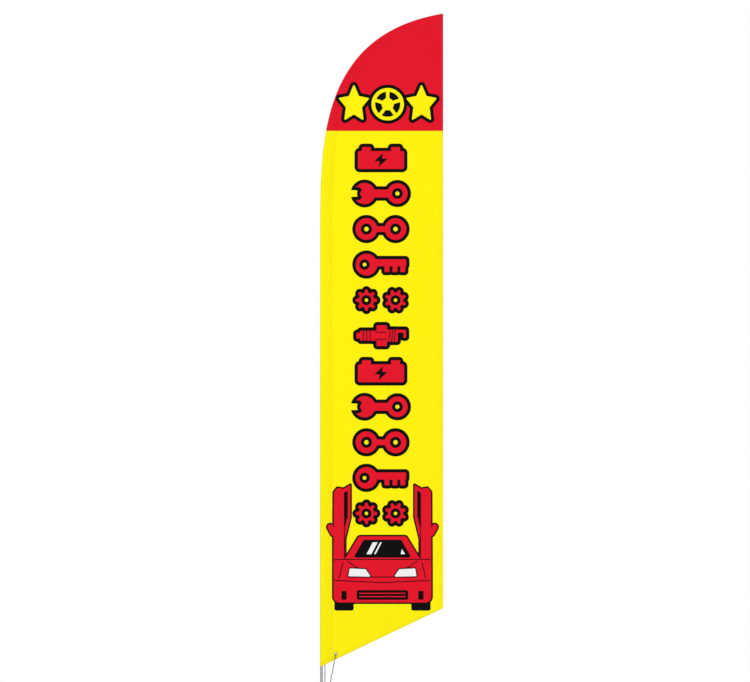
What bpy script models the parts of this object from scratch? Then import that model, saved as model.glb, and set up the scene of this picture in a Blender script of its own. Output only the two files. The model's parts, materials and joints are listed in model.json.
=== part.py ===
"""Feather flag kit: sleeve flag, four-piece push-fit pole, rotating ground spike and elastic tie-down.

Metres, +Z up. The origin is where the pole's axis meets the ground. The pole bends towards +X at the
top, and the flag hangs in the XZ plane.
"""

import math

import bmesh
import bpy
import numpy as np
from mathutils import Matrix, Vector

# Flag
FLAG_HEIGHT = 3.502
FLAG_WIDTH = 0.660
HEM_RISE = 0.315
CLOTH = 0.0008
SLEEVE_WALL = 0.0006
SEAM_DISTANCE = 0.050
SLEEVE_EASE = 0.0012

# Pole, along its curved axis
POLE_LENGTH = 4.570
JOINT_OVERLAP = 0.100
POLE_FOOT = 0.0402
TIP_CLEARANCE = 0.034
BEND_REACH = 1.167
BEND_SQUARENESS = 3.30
BEND_START = 2.294
SECTION_LENGTH = (POLE_LENGTH + 3 * JOINT_OVERLAP) / 4
SECTION_STARTS = [i * (SECTION_LENGTH - JOINT_OVERLAP) for i in range(4)]
FIRST_RADIUS, FIRST_BORE = 0.0140, 0.0126
SECOND_RADIUS, SECOND_BORE = 0.0123, 0.0111
THIRD_RADIUS, THIRD_BORE = 0.0108, 0.0082
ROD_RADIUS, ROD_TIP_RADIUS = 0.0076, 0.0042
NOSE_RADIUS = FIRST_RADIUS + SLEEVE_EASE
TIP_NOSE_RADIUS = 0.0102
RING_HEIGHT = 0.014
FERRULE_HEIGHT = 0.040

# Ground spike and rotator
SPIKE_DEPTH = 0.500
SPIKE_RADIUS = 0.008
SHAFT_TOP = 0.019
PLATE_RADIUS = 0.060
PLATE_BOTTOM, PLATE_TOP = 0.001, 0.006
FIN_SPAN = 0.034
FIN_DEPTH = 0.150
FIN_TUBE_RADIUS = 0.011
AXLE_RADIUS = 0.006
AXLE_TOP = 0.258
SHOULDER_TOP = 0.030
SHOULDER_RADIUS = 0.013
BUSH_RADIUS = 0.009
BUSH_RIM_RADIUS = 0.0114
LOWER_BUSH_TOP = 0.062
UPPER_BUSH_BOTTOM = 0.217
CAP_TOP = 0.266
ROTATOR_RADIUS = 0.0116
ROTATOR_FLANGE_RADIUS = 0.019
ROTATOR_BOTTOM, ROTATOR_TOP = 0.0349, 0.2450
O_RING_HEIGHTS = (0.075, 0.215)

# Tie-down
COLLAR_DROP = 0.125
COLLAR_HEIGHT = 0.022
COLLAR_RADIUS = 0.020
PEG_RADIUS = 0.004
PEG_PLACE = 0.031
GROMMET_PLACE = 0.070
GROMMET_ABOVE_HEM = 0.030
GROMMET_BORE = 0.005
GROMMET_FLANGE = 0.0095
CORD_RADIUS = 0.002
LOOP_RADIUS = 0.0095
SCREW_RADIUS = 0.003

GAP = 0.0003
BEND_GAP = 0.0008
TURN_STEPS = 32

PARTS = "feather_flag"
CUTTERS = "cutters"

GALVANISED = ("galvanised_steel", (0.62, 0.64, 0.66), 1.0, 0.45)
STEEL = ("bright_steel", (0.72, 0.72, 0.74), 1.0, 0.25)
ALUMINIUM = ("anodised_aluminium", (0.78, 0.79, 0.81), 1.0, 0.32)
FIBREGLASS = ("black_fibreglass", (0.03, 0.03, 0.032), 0.0, 0.35)
NYLON = ("natural_nylon", (0.85, 0.84, 0.80), 0.0, 0.45)
BLACK_PLASTIC = ("black_plastic", (0.03, 0.03, 0.03), 0.0, 0.5)
RUBBER = ("black_rubber", (0.02, 0.02, 0.02), 0.0, 0.8)
BRASS = ("brass", (0.80, 0.60, 0.28), 1.0, 0.3)
YELLOW_CLOTH = ("yellow_knit", (0.99, 0.88, 0.0), 0.0, 0.85)
RED_CLOTH = ("red_knit", (0.77, 0.01, 0.03), 0.0, 0.85)
WEBBING = ("black_webbing", (0.03, 0.03, 0.035), 0.0, 0.9)
ELASTIC = ("black_elastic", (0.025, 0.025, 0.025), 0.0, 0.8)


def clear_scene():
    for obj in list(bpy.data.objects):
        bpy.data.objects.remove(obj, do_unlink=True)


def collection(name):
    found = bpy.data.collections.get(name)
    if found is None:
        found = bpy.data.collections.new(name)
        bpy.context.scene.collection.children.link(found)
    return found


def material(spec):
    name, colour, metallic, roughness = spec
    found = bpy.data.materials.get(name)
    if found is None:
        found = bpy.data.materials.new(name)
        found.use_nodes = True
        shader = found.node_tree.nodes["Principled BSDF"]
        shader.inputs["Base Color"].default_value = (*colour, 1.0)
        shader.inputs["Metallic"].default_value = metallic
        shader.inputs["Roughness"].default_value = roughness
    return found


def add_object(name, data, spec=None, group=PARTS):
    obj = bpy.data.objects.new(name, data)
    collection(group).objects.link(obj)
    if spec:
        data.materials.append(material(spec))
    return obj


def add_cutter(name, data):
    obj = add_object(name, data, group=CUTTERS)
    obj.hide_render = True
    obj.display_type = "WIRE"
    return obj


def modify(obj, kind, **settings):
    modifier = obj.modifiers.new(kind.title(), kind)
    for key, value in settings.items():
        setattr(modifier, key, value)
    return modifier


def boolean(obj, cutter, operation):
    modify(obj, "BOOLEAN", object=cutter, operation=operation)


# The pole's axis: straight, then a quarter of a squared-off ellipse that stops at the flag's fly edge

FLY_EDGE = FLAG_WIDTH - NOSE_RADIUS
FLY_T = (1 - (1 - FLY_EDGE / BEND_REACH) ** BEND_SQUARENESS) ** (1 / BEND_SQUARENESS)
BEND_RISE = (FLAG_HEIGHT - TIP_NOSE_RADIUS - BEND_START) / FLY_T


def bend_point(t):
    """Place on the bend, from its start: across and up, for t between 0 and 1."""
    across = BEND_REACH * (1 - (1 - t**BEND_SQUARENESS) ** (1 / BEND_SQUARENESS))
    return across, BEND_RISE * t


def bend_table():
    """Height and length along the bend, for reading a place on it from a length."""
    t = np.linspace(0.0, 0.999, 6000)
    across, up = bend_point(t)
    length = np.concatenate([[0.0], np.cumsum(np.hypot(np.diff(across), np.diff(up)))])
    return t, across, length


BEND_T, BEND_ACROSS, BEND_LENGTH = bend_table()
BEND_TO_TIP = float(np.interp(FLY_EDGE - TIP_CLEARANCE, BEND_ACROSS, BEND_LENGTH))
BEND_TO_FLY = float(np.interp(FLY_EDGE, BEND_ACROSS, BEND_LENGTH))
STRAIGHT_LENGTH = POLE_LENGTH - BEND_TO_TIP
BEND_BASE = POLE_FOOT + STRAIGHT_LENGTH
LOW_CORNER = BEND_BASE - BEND_START
COLLAR_LEVEL = LOW_CORNER - COLLAR_DROP
HEM_SLOPE = HEM_RISE / FLAG_WIDTH


def pole_point(s):
    """Place and direction on the pole's axis, s metres from its foot."""
    beyond = s - STRAIGHT_LENGTH
    if beyond <= 0:
        return Vector((0.0, 0.0, POLE_FOOT + s)), Vector((0.0, 0.0, 1.0))
    t = float(np.interp(beyond, BEND_LENGTH, BEND_T))
    step = 1e-3
    before, after = bend_point(max(t - step, 0.0)), bend_point(min(t + step, 1.0))
    across, up = bend_point(t)
    along = Vector((after[0] - before[0], 0.0, after[1] - before[1])).normalized()
    return Vector((across, 0.0, BEND_BASE + up)), along


def inward(along):
    """Direction across the pole's axis, towards the flag's panel."""
    return Vector((along.z, 0.0, -along.x))


def pole_stops(start, end, straight_step=0.25, bend_step=0.05):
    """Lengths from start to end, close together only where the pole bends."""
    stops = [start]
    while stops[-1] < end - 1e-6:
        step = bend_step if stops[-1] >= STRAIGHT_LENGTH else straight_step
        following = stops[-1] + step
        if stops[-1] < STRAIGHT_LENGTH < following:
            following = STRAIGHT_LENGTH
        stops.append(end if following > end - 0.4 * step else following)
    return stops


def hem_height(x):
    return LOW_CORNER + HEM_SLOPE * (x + NOSE_RADIUS)


# Ways of making a solid


def turned(name, profile, spec, group=PARTS):
    """Solid turned about its own Z from (radius, height) points that run down the outer side."""
    closed = all(radius > 0 for radius, _ in profile)
    mesh = bpy.data.meshes.new(name)
    points = [(radius, 0.0, height) for radius, height in profile]
    edges = [(i, i + 1) for i in range(len(points) - 1)]
    if closed:
        edges.append((len(points) - 1, 0))
    mesh.from_pydata(points, edges, [])
    obj = add_object(name, mesh, spec, group)
    modify(
        obj, "SCREW", steps=TURN_STEPS, render_steps=TURN_STEPS,
        use_merge_vertices=True, merge_threshold=1e-6,
    )
    return obj


def ring(name, inner, outer, bottom, top, spec, chamfer=0.0):
    """Plain ring or tube about Z, with its outer edges broken by chamfer."""
    profile = [(inner, top), (outer - chamfer, top), (outer, top - chamfer)]
    profile += [(outer, bottom + chamfer), (outer - chamfer, bottom), (inner, bottom)]
    if chamfer == 0.0:
        profile = [(inner, top), (outer, top), (outer, bottom), (inner, bottom)]
    return turned(name, profile, spec)


def stand_on_pole(obj, s):
    """Puts an object's own Z along the pole's axis at s."""
    place, along = pole_point(s)
    side = Vector((0.0, 1.0, 0.0))
    across = side.cross(along)
    turn = Matrix((across, side, along)).transposed()
    obj.matrix_world = Matrix.Translation(place) @ turn.to_4x4()


def swept(name, start, end, radii, spec, wall=None):
    """Round rod along the pole's axis, or a tube with walls of this thickness."""
    stops = pole_stops(start, end)
    curve = bpy.data.curves.new(name, "CURVE")
    curve.dimensions = "3D"
    curve.bevel_depth = radii[0]
    curve.bevel_resolution = 4
    curve.use_fill_caps = wall is None
    spline = curve.splines.new("POLY")
    spline.points.add(len(stops) - 1)
    for point, s in zip(spline.points, stops):
        point.co = (*pole_point(s)[0], 1.0)
        share = (s - start) / (end - start)
        point.radius = 1.0 + (radii[1] / radii[0] - 1.0) * share
    obj = add_object(name, curve, spec)
    if wall is not None:
        modify(obj, "SOLIDIFY", thickness=wall, offset=-1.0, use_even_offset=True)
    return obj


def flat_outline(name, outline, depth, level, spec, holes=()):
    """Sheet standing in the XZ plane from an outline of (x, z), its middle at y = level."""
    curve = bpy.data.curves.new(name, "CURVE")
    curve.dimensions = "2D"
    curve.fill_mode = "BOTH"
    curve.extrude = depth / 2
    for loop in (outline, *holes):
        spline = curve.splines.new("POLY")
        spline.points.add(len(loop) - 1)
        for point, (x, z) in zip(spline.points, loop):
            point.co = (x, z, 0.0, 1.0)
        spline.use_cyclic_u = True
    obj = add_object(name, curve, spec)
    obj.location.y = level
    obj.rotation_euler.x = math.pi / 2
    return obj


def circle(x, z, radius, count=24):
    angles = (2 * math.pi * i / count for i in range(count))
    return [(x + radius * math.cos(a), z + radius * math.sin(a)) for a in angles]


def box_mesh(name, low, high):
    mesh = bpy.data.meshes.new(name)
    shape = bmesh.new()
    bmesh.ops.create_cube(shape, size=1.0)
    middle, size = (Vector(low) + Vector(high)) / 2, Vector(high) - Vector(low)
    bmesh.ops.scale(shape, vec=size, verts=shape.verts)
    bmesh.ops.translate(shape, vec=middle, verts=shape.verts)
    shape.to_mesh(mesh)
    shape.free()
    return mesh


def rod_mesh(name, start, end, radius, segments=25):
    """Closed cylinder between two points."""
    start, end = Vector(start), Vector(end)
    mesh = bpy.data.meshes.new(name)
    shape = bmesh.new()
    depth = (end - start).length
    bmesh.ops.create_cone(
        shape, cap_ends=True, segments=segments, radius1=radius, radius2=radius, depth=depth
    )
    turn = (end - start).to_track_quat("Z", "Y").to_matrix()
    bmesh.ops.rotate(shape, matrix=turn, verts=shape.verts)
    bmesh.ops.translate(shape, vec=(start + end) / 2, verts=shape.verts)
    shape.to_mesh(mesh)
    shape.free()
    return mesh


# Ground spike


def make_spike():
    point_length = 0.060
    turned(
        "spike_shaft",
        [
            (0.0, SHAFT_TOP), (SPIKE_RADIUS - 0.001, SHAFT_TOP), (SPIKE_RADIUS, SHAFT_TOP - 0.001),
            (SPIKE_RADIUS, point_length - SPIKE_DEPTH), (0.0, -SPIKE_DEPTH),
        ],
        GALVANISED,
    )
    bore = SPIKE_RADIUS + GAP
    ring("foot_plate", bore, PLATE_RADIUS, PLATE_BOTTOM, PLATE_TOP, GALVANISED, chamfer=0.001)


def make_fins():
    """Four blades on a short tube, which stop the spike turning in the soil."""
    thickness, top, taper = 0.003, -0.004, 0.045
    fins = ring("spike_fins", SPIKE_RADIUS + GAP, FIN_TUBE_RADIUS, -FIN_DEPTH, top, GALVANISED)
    root = FIN_TUBE_RADIUS - thickness / 2
    blade = [(root, top - 0.002), (FIN_SPAN, top - 0.002)]
    blade += [(FIN_SPAN, taper - FIN_DEPTH), (root, 0.004 - FIN_DEPTH)]
    for i in range(4):
        mesh = bpy.data.meshes.new(f"blade_{i}")
        shape = bmesh.new()
        corners = [shape.verts.new((x, -thickness / 2, z)) for x, z in blade]
        face = shape.faces.new(corners)
        moved = bmesh.ops.extrude_face_region(shape, geom=[face])["geom"]
        verts = [item for item in moved if isinstance(item, bmesh.types.BMVert)]
        bmesh.ops.translate(shape, vec=(0.0, thickness, 0.0), verts=verts)
        bmesh.ops.rotate(shape, matrix=Matrix.Rotation(i * math.pi / 2, 3, "Z"), verts=shape.verts)
        bmesh.ops.recalc_face_normals(shape, faces=shape.faces)
        shape.to_mesh(mesh)
        shape.free()
        boolean(fins, add_cutter(f"blade_{i}", mesh), "UNION")


def make_axle():
    """Fixed axle that the rotator turns on, with the washers and the clip that keep it there."""
    groove, clip_bottom, clip_top = 0.005, 0.2494, 0.2514
    turned(
        "axle",
        [
            (0.0, AXLE_TOP), (AXLE_RADIUS - 0.001, AXLE_TOP), (AXLE_RADIUS, AXLE_TOP - 0.001),
            (AXLE_RADIUS, clip_top), (groove, clip_top), (groove, clip_bottom),
            (AXLE_RADIUS, clip_bottom), (AXLE_RADIUS, SHOULDER_TOP), (SHOULDER_RADIUS, SHOULDER_TOP),
            (SHOULDER_RADIUS, SHAFT_TOP + GAP), (0.0, SHAFT_TOP + GAP),
        ],
        STEEL,
    )
    bore = AXLE_RADIUS + GAP
    low, high = SHOULDER_TOP + GAP, ROTATOR_TOP + 0.0026
    ring("thrust_washer", bore, SHOULDER_RADIUS, low, low + 0.002, STEEL)
    ring("retaining_washer", bore, BUSH_RIM_RADIUS - 0.0016, high, high + 0.0015, STEEL)
    clip = ring("retaining_clip", groove + GAP, 0.0085, clip_bottom + GAP, clip_top - GAP, STEEL)
    mouth = box_mesh("clip_mouth", (0.0, -0.0030, clip_bottom - 0.01), (0.02, 0.0030, clip_top + 0.01))
    boolean(clip, add_cutter("clip_mouth", mouth), "DIFFERENCE")


# Rotator


def make_rotator():
    bore = BUSH_RADIUS + GAP
    groove, half_groove = ROTATOR_RADIUS - 0.0009, 0.0010
    profile = [(bore, ROTATOR_TOP), (ROTATOR_RADIUS, ROTATOR_TOP)]
    for height in reversed(O_RING_HEIGHTS):
        profile += [(ROTATOR_RADIUS, height + half_groove), (groove, height + half_groove)]
        profile += [(groove, height - half_groove), (ROTATOR_RADIUS, height - half_groove)]
    flange_top = POLE_FOOT - GAP
    profile += [(ROTATOR_RADIUS, flange_top), (ROTATOR_FLANGE_RADIUS, flange_top)]
    profile += [(ROTATOR_FLANGE_RADIUS, ROTATOR_BOTTOM), (bore, ROTATOR_BOTTOM)]
    turned("rotator_sleeve", profile, BLACK_PLASTIC)
    cord = 0.00062
    for name, height in zip(("lower_o_ring", "upper_o_ring"), O_RING_HEIGHTS):
        angles = [math.radians(90 - 45 * i) for i in range(8)]
        middle = groove + GAP + cord
        loop = [(middle + cord * math.cos(a), height + cord * math.sin(a)) for a in angles]
        turned(name, loop, RUBBER)


def make_bushes():
    """Two flanged bushes between the axle and the rotator, and the cap over the axle's end."""
    inner = AXLE_RADIUS + GAP
    flange_bottom, flange_top = ROTATOR_BOTTOM - 0.0023, ROTATOR_BOTTOM - GAP
    turned(
        "lower_bush",
        [
            (inner, LOWER_BUSH_TOP), (BUSH_RADIUS, LOWER_BUSH_TOP), (BUSH_RADIUS, flange_top),
            (SHOULDER_RADIUS, flange_top), (SHOULDER_RADIUS, flange_bottom), (inner, flange_bottom),
        ],
        NYLON,
    )
    rim_bottom, rim_top = ROTATOR_TOP + GAP, ROTATOR_TOP + 0.0023
    turned(
        "upper_bush",
        [
            (inner, rim_top), (BUSH_RIM_RADIUS, rim_top), (BUSH_RIM_RADIUS, rim_bottom),
            (BUSH_RADIUS, rim_bottom), (BUSH_RADIUS, UPPER_BUSH_BOTTOM), (inner, UPPER_BUSH_BOTTOM),
        ],
        NYLON,
    )
    wall, top, bottom = 0.0011, CAP_TOP, rim_top + GAP
    outer, inside = BUSH_RIM_RADIUS, BUSH_RIM_RADIUS - wall
    turned(
        "rotator_cap",
        [
            (0.0, top), (0.006, top - 0.0008), (outer - 0.0016, top - 0.0032),
            (outer, top - 0.0062), (outer, bottom), (inside, bottom),
            (inside, top - 0.0066), (0.006, top - 0.0030), (0.0, top - 0.0024),
        ],
        BLACK_PLASTIC,
    )


# Pole


def make_tubes():
    """The two straight aluminium tubes, each open at both ends."""
    end = POLE_FOOT + SECTION_LENGTH
    ring("pole_section_1", FIRST_BORE, FIRST_RADIUS, POLE_FOOT, end, ALUMINIUM, chamfer=0.0004)
    start = POLE_FOOT + SECTION_STARTS[1]
    end = start + SECTION_LENGTH
    ring("pole_section_2", SECOND_BORE, SECOND_RADIUS, start, end, ALUMINIUM, chamfer=0.0004)


def make_upper_pole():
    """The fibreglass tube that starts the bend and the tapered fibreglass rod that finishes it."""
    third, rod = SECTION_STARTS[2], SECTION_STARTS[3]
    end = third + SECTION_LENGTH
    radii = (THIRD_RADIUS, THIRD_RADIUS)
    swept("pole_section_3", third, end, radii, FIBREGLASS, wall=THIRD_RADIUS - THIRD_BORE)
    swept("pole_tip_rod", rod, POLE_LENGTH, (ROD_RADIUS, ROD_TIP_RADIUS), FIBREGLASS)


def make_pole_rings():
    """Stop rings glued on each push-fit end, the ferrule on the fibreglass rim, and the tip cap."""
    ferrule_radius = THIRD_RADIUS + 0.0018
    stops = [start + JOINT_OVERLAP for start in SECTION_STARTS]
    seats = (
        ("stop_ring_2", stops[1], SECOND_RADIUS, FIRST_RADIUS, ALUMINIUM),
        ("stop_ring_3", stops[2], THIRD_RADIUS, SECOND_RADIUS, ALUMINIUM),
        ("stop_ring_4", stops[3], ROD_RADIUS, ferrule_radius - 0.0006, BLACK_PLASTIC),
    )
    for name, s, bore, outer, spec in seats:
        room = BEND_GAP if s > STRAIGHT_LENGTH else GAP
        made = ring(name, bore + room, outer, room, room + RING_HEIGHT, spec, chamfer=0.0006)
        stand_on_pole(made, s)
    bore = THIRD_RADIUS + BEND_GAP
    ferrule = ring(
        "rim_ferrule", bore, ferrule_radius, -FERRULE_HEIGHT, 0.0, ALUMINIUM, chamfer=0.0003
    )
    stand_on_pole(ferrule, stops[3])
    wall, length, dome = 0.0012, 0.018, 0.0030
    inside = ROD_TIP_RADIUS + BEND_GAP
    outer = inside + wall
    cap = turned(
        "tip_cap",
        [
            (0.0, dome + wall), (outer * 0.7, dome * 0.75 + wall), (outer, wall),
            (outer, -length), (inside, -length), (inside, GAP), (0.0, GAP),
        ],
        RUBBER,
    )
    stand_on_pole(cap, POLE_LENGTH)


# Flag


def nose_radius(s):
    """Outer radius of the sleeve's front, which follows the pole inside it."""
    stops = [SECTION_STARTS[1] + JOINT_OVERLAP, SECTION_STARTS[2] + JOINT_OVERLAP]
    stops += [SECTION_STARTS[3] + JOINT_OVERLAP, POLE_LENGTH + 0.02]
    return float(np.interp(s, stops, [NOSE_RADIUS, 0.0146, 0.0142, TIP_NOSE_RADIUS]))


def sleeve_section(radius, seam, count=15):
    """Closed drop shape round the pole: (inward, sideways) points, ending at the seam."""
    lean = math.acos(radius / seam)
    points = []
    for i in range(count):
        angle = lean + (2 * math.pi - 2 * lean) * i / (count - 1)
        points.append((radius * math.cos(angle), radius * math.sin(angle)))
    return points + [(seam, 0.0)]


def cut_back(place, along, s):
    """Slides a point along the pole to lie on the slanted hem, or on the fly edge at the top."""
    if s < STRAIGHT_LENGTH:
        return Vector((place.x, place.y, hem_height(place.x)))
    return place + along * ((FLY_EDGE - place.x) / along.x)


def sleeve_loop(s, thinner, end):
    place, along = pole_point(s)
    across = inward(along)
    radius = nose_radius(s) - thinner
    seam = SEAM_DISTANCE - 6 * thinner
    loop = []
    for inwards, sideways in sleeve_section(radius, seam):
        point = place + across * inwards + Vector((0.0, sideways, 0.0))
        loop.append(cut_back(point, along, s) if end else point)
    return loop


def bridge(shape, first, second):
    for i in range(len(first)):
        j = (i + 1) % len(first)
        shape.faces.new((first[i], first[j], second[j], second[i]))


def make_sleeve():
    """Cloth folded back round the pole: a tube of drop section, open below and shut at the tip."""
    start = LOW_CORNER - POLE_FOOT
    end = STRAIGHT_LENGTH + BEND_TO_FLY
    stops = pole_stops(start, end, straight_step=0.45, bend_step=0.055)
    pocket = 0.006
    shape = bmesh.new()
    outer, inner = [], []
    for i, s in enumerate(stops):
        at_end = i in (0, len(stops) - 1)
        outer.append([shape.verts.new(p) for p in sleeve_loop(s, 0.0, at_end)])
        inner_s = s - pocket if i == len(stops) - 1 else s
        points = sleeve_loop(inner_s, SLEEVE_WALL, at_end)
        if i == len(stops) - 1:
            points = [p - Vector((pocket, 0.0, 0.0)) for p in points]
        inner.append([shape.verts.new(p) for p in points])
    for i in range(len(stops) - 1):
        bridge(shape, outer[i], outer[i + 1])
        bridge(shape, inner[i + 1], inner[i])
    bridge(shape, inner[0], outer[0])
    shape.faces.new(outer[-1])
    shape.faces.new(inner[-1][::-1])
    bmesh.ops.triangulate(shape, faces=shape.faces)
    bmesh.ops.recalc_face_normals(shape, faces=shape.faces)
    mesh = bpy.data.meshes.new("pole_sleeve")
    shape.to_mesh(mesh)
    shape.free()
    add_object("pole_sleeve", mesh, YELLOW_CLOTH)


def seam_line(gap):
    """The panel's edge along the sleeve's seam, from the hem to the fly edge."""
    start, end = LOW_CORNER - POLE_FOOT, STRAIGHT_LENGTH + BEND_TO_FLY
    line = []
    for s in pole_stops(start, end, straight_step=3.0, bend_step=0.055):
        place, along = pole_point(s)
        point = place + inward(along) * (SEAM_DISTANCE + gap)
        if s in (start, end):
            point = cut_back(point, along, s)
        line.append((point.x, point.z))
    return line


def make_panel():
    grommet_x, grommet_z = GROMMET_PLACE, hem_height(GROMMET_PLACE) + GROMMET_ABOVE_HEM
    hole = circle(grommet_x, grommet_z, GROMMET_BORE + 0.0010)
    outline = seam_line(GAP) + [(FLY_EDGE, LOW_CORNER + HEM_RISE)]
    flat_outline("flag_panel", outline, CLOTH, 0.0, YELLOW_CLOTH, holes=[hole])
    left = SEAM_DISTANCE + 0.003
    right, middle = left + 0.075, left + 0.022
    low, short, tall = 0.003, 0.030, 0.120
    corners = ((left, low), (right, low), (right, short), (middle, tall), (left, tall))
    patch = [(x, hem_height(left if x == middle else x) + rise) for x, rise in corners]
    flat_outline("corner_patch", patch, CLOTH, CLOTH + GAP, WEBBING, holes=[hole])


def make_tip_pocket():
    """Webbing cup sewn inside the sleeve's closed end, which the capped tip of the pole pushes into."""
    wall, length, reach = 0.0010, 0.050, 0.012
    inside = ROD_TIP_RADIUS + 0.0027
    cup = turned(
        "tip_pocket",
        [
            (0.0, reach + wall), (inside * 0.7, reach * 0.8 + wall), (inside + wall, 0.004),
            (inside + wall, -length), (inside, -length), (inside, 0.004),
            (inside * 0.7, reach * 0.8), (0.0, reach),
        ],
        WEBBING,
    )
    stand_on_pole(cup, POLE_LENGTH)


def make_grommet():
    """Brass eyelet pushed through the cloth and patch, and the washer that it is rolled over."""
    height = hem_height(GROMMET_PLACE) + GROMMET_ABOVE_HEM
    barrel = GROMMET_BORE + 0.0006
    face = CLOTH / 2 + GAP
    washer_near = CLOTH * 1.5 + 2 * GAP
    washer_far = washer_near + 0.0006
    lip = washer_far + GAP
    eyelet = turned(
        "grommet_eyelet",
        [
            (GROMMET_BORE, face + 0.0006), (GROMMET_BORE + 0.0004, face + 0.0008),
            (GROMMET_FLANGE - 0.001, face + 0.0006), (GROMMET_FLANGE, face), (barrel, face),
            (barrel, -lip), (barrel + 0.0010, -lip), (barrel + 0.0010, -lip - 0.0004),
            (GROMMET_BORE, -lip - 0.0004),
        ],
        BRASS,
    )
    washer = ring("grommet_washer", barrel + GAP, GROMMET_FLANGE, -washer_far, -washer_near, BRASS)
    for obj in (eyelet, washer):
        obj.location = (GROMMET_PLACE, 0.0, height)
        obj.rotation_euler.x = math.pi / 2


# Tie-down


def make_collar():
    """Clamp ring that slides on the lowest tube, with a peg for the elastic and a boss for the screw."""
    level = COLLAR_LEVEL
    bore, bottom, top = FIRST_RADIUS + GAP, level - COLLAR_HEIGHT / 2, level + COLLAR_HEIGHT / 2
    collar = ring("hook_collar", bore, COLLAR_RADIUS, bottom, top, BLACK_PLASTIC, chamfer=0.0015)
    neck = rod_mesh("peg_neck", (0.017, 0, level), (0.040, 0, level), PEG_RADIUS)
    head = rod_mesh("peg_head", (0.0385, 0, level), (0.0425, 0, level), PEG_RADIUS + 0.0035)
    boss = rod_mesh("screw_boss", (0, 0.017, level), (0, 0.027, level), 0.0075)
    hole = rod_mesh("screw_hole", (0, 0.010, level), (0, 0.035, level), SCREW_RADIUS + GAP)
    for mesh in (neck, head, boss):
        boolean(collar, add_cutter(mesh.name, mesh), "UNION")
    boolean(collar, add_cutter("screw_hole", hole), "DIFFERENCE")


def make_thumb_screw():
    """Wing screw whose end presses on the tube. Its own Z points out along +Y."""
    tip, head, head_radius = FIRST_RADIUS + GAP, 0.0275, 0.0065
    screw = turned(
        "thumb_screw",
        [
            (0.0, head + 0.007), (head_radius - 0.001, head + 0.007),
            (head_radius, head + 0.006), (head_radius, head),
            (SCREW_RADIUS, head), (SCREW_RADIUS, tip + 0.001), (SCREW_RADIUS - 0.001, tip), (0.0, tip),
        ],
        BLACK_PLASTIC,
    )
    wings = bpy.data.meshes.new("screw_wings")
    shape = bmesh.new()
    bmesh.ops.create_cube(shape, size=1.0)
    bmesh.ops.scale(shape, vec=(0.027, 0.003, 0.009), verts=shape.verts)
    bmesh.ops.translate(shape, vec=(0.0, 0.0, head + 0.0072), verts=shape.verts)
    upright = [e for e in shape.edges if abs(e.verts[0].co.y - e.verts[1].co.y) > 1e-4]
    bmesh.ops.bevel(shape, geom=upright, offset=0.003, segments=3, affect="EDGES", profile=0.5)
    shape.to_mesh(wings)
    shape.free()
    wing = add_cutter("screw_wings", wings)
    boolean(screw, wing, "UNION")
    for obj in (screw, wing):
        obj.location = (0.0, 0.0, COLLAR_LEVEL)
        obj.rotation_euler.x = -math.pi / 2


def make_elastic():
    """Closed loop of round elastic: through the grommet, down both faces and under the peg."""
    hole = Vector((GROMMET_PLACE, 0.0, hem_height(GROMMET_PLACE) + GROMMET_ABOVE_HEM - CORD_RADIUS))
    under_peg = Vector((PEG_PLACE, 0.0, COLLAR_LEVEL - PEG_RADIUS - GAP - CORD_RADIUS))
    lean = (hole - under_peg).normalized()
    top, bottom = hole - lean * LOOP_RADIUS, under_peg + lean * LOOP_RADIUS
    side = Vector((0.0, 1.0, 0.0))
    points = []
    turns = [math.pi * i / 10 for i in range(11)]
    for centre, start in ((top, 0.0), (bottom, math.pi)):
        for turn in turns:
            out = side * math.cos(start + turn) + lean * math.sin(start + turn)
            points.append(centre + out * LOOP_RADIUS)
    curve = bpy.data.curves.new("elastic_loop", "CURVE")
    curve.dimensions = "3D"
    curve.bevel_depth = CORD_RADIUS
    curve.bevel_resolution = 2
    spline = curve.splines.new("POLY")
    spline.points.add(len(points) - 1)
    for point, place in zip(spline.points, points):
        point.co = (*place, 1.0)
    spline.use_cyclic_u = True
    add_object("elastic_loop", curve, ELASTIC)


def main():
    clear_scene()
    make_spike()
    make_fins()
    make_axle()
    make_rotator()
    make_bushes()
    make_tubes()
    make_upper_pole()
    make_pole_rings()
    make_sleeve()
    make_panel()
    make_tip_pocket()
    make_grommet()
    make_collar()
    make_thumb_screw()
    make_elastic()


main()
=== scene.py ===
"""Looks of the feather flag kit: printed knit flag on a bending pole, ground spike and tie-down.

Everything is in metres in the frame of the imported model: +Z up, origin where the pole's axis meets
the ground, the flag in the XZ plane with its printed front towards -Y.
"""

import json
import logging
import math
from collections.abc import Callable, Sequence
from dataclasses import dataclass, field
from enum import Enum

import bmesh
import bpy
import numpy as np
from mathutils import Matrix, Vector
from mathutils.geometry import delaunay_2d_cdt

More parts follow.
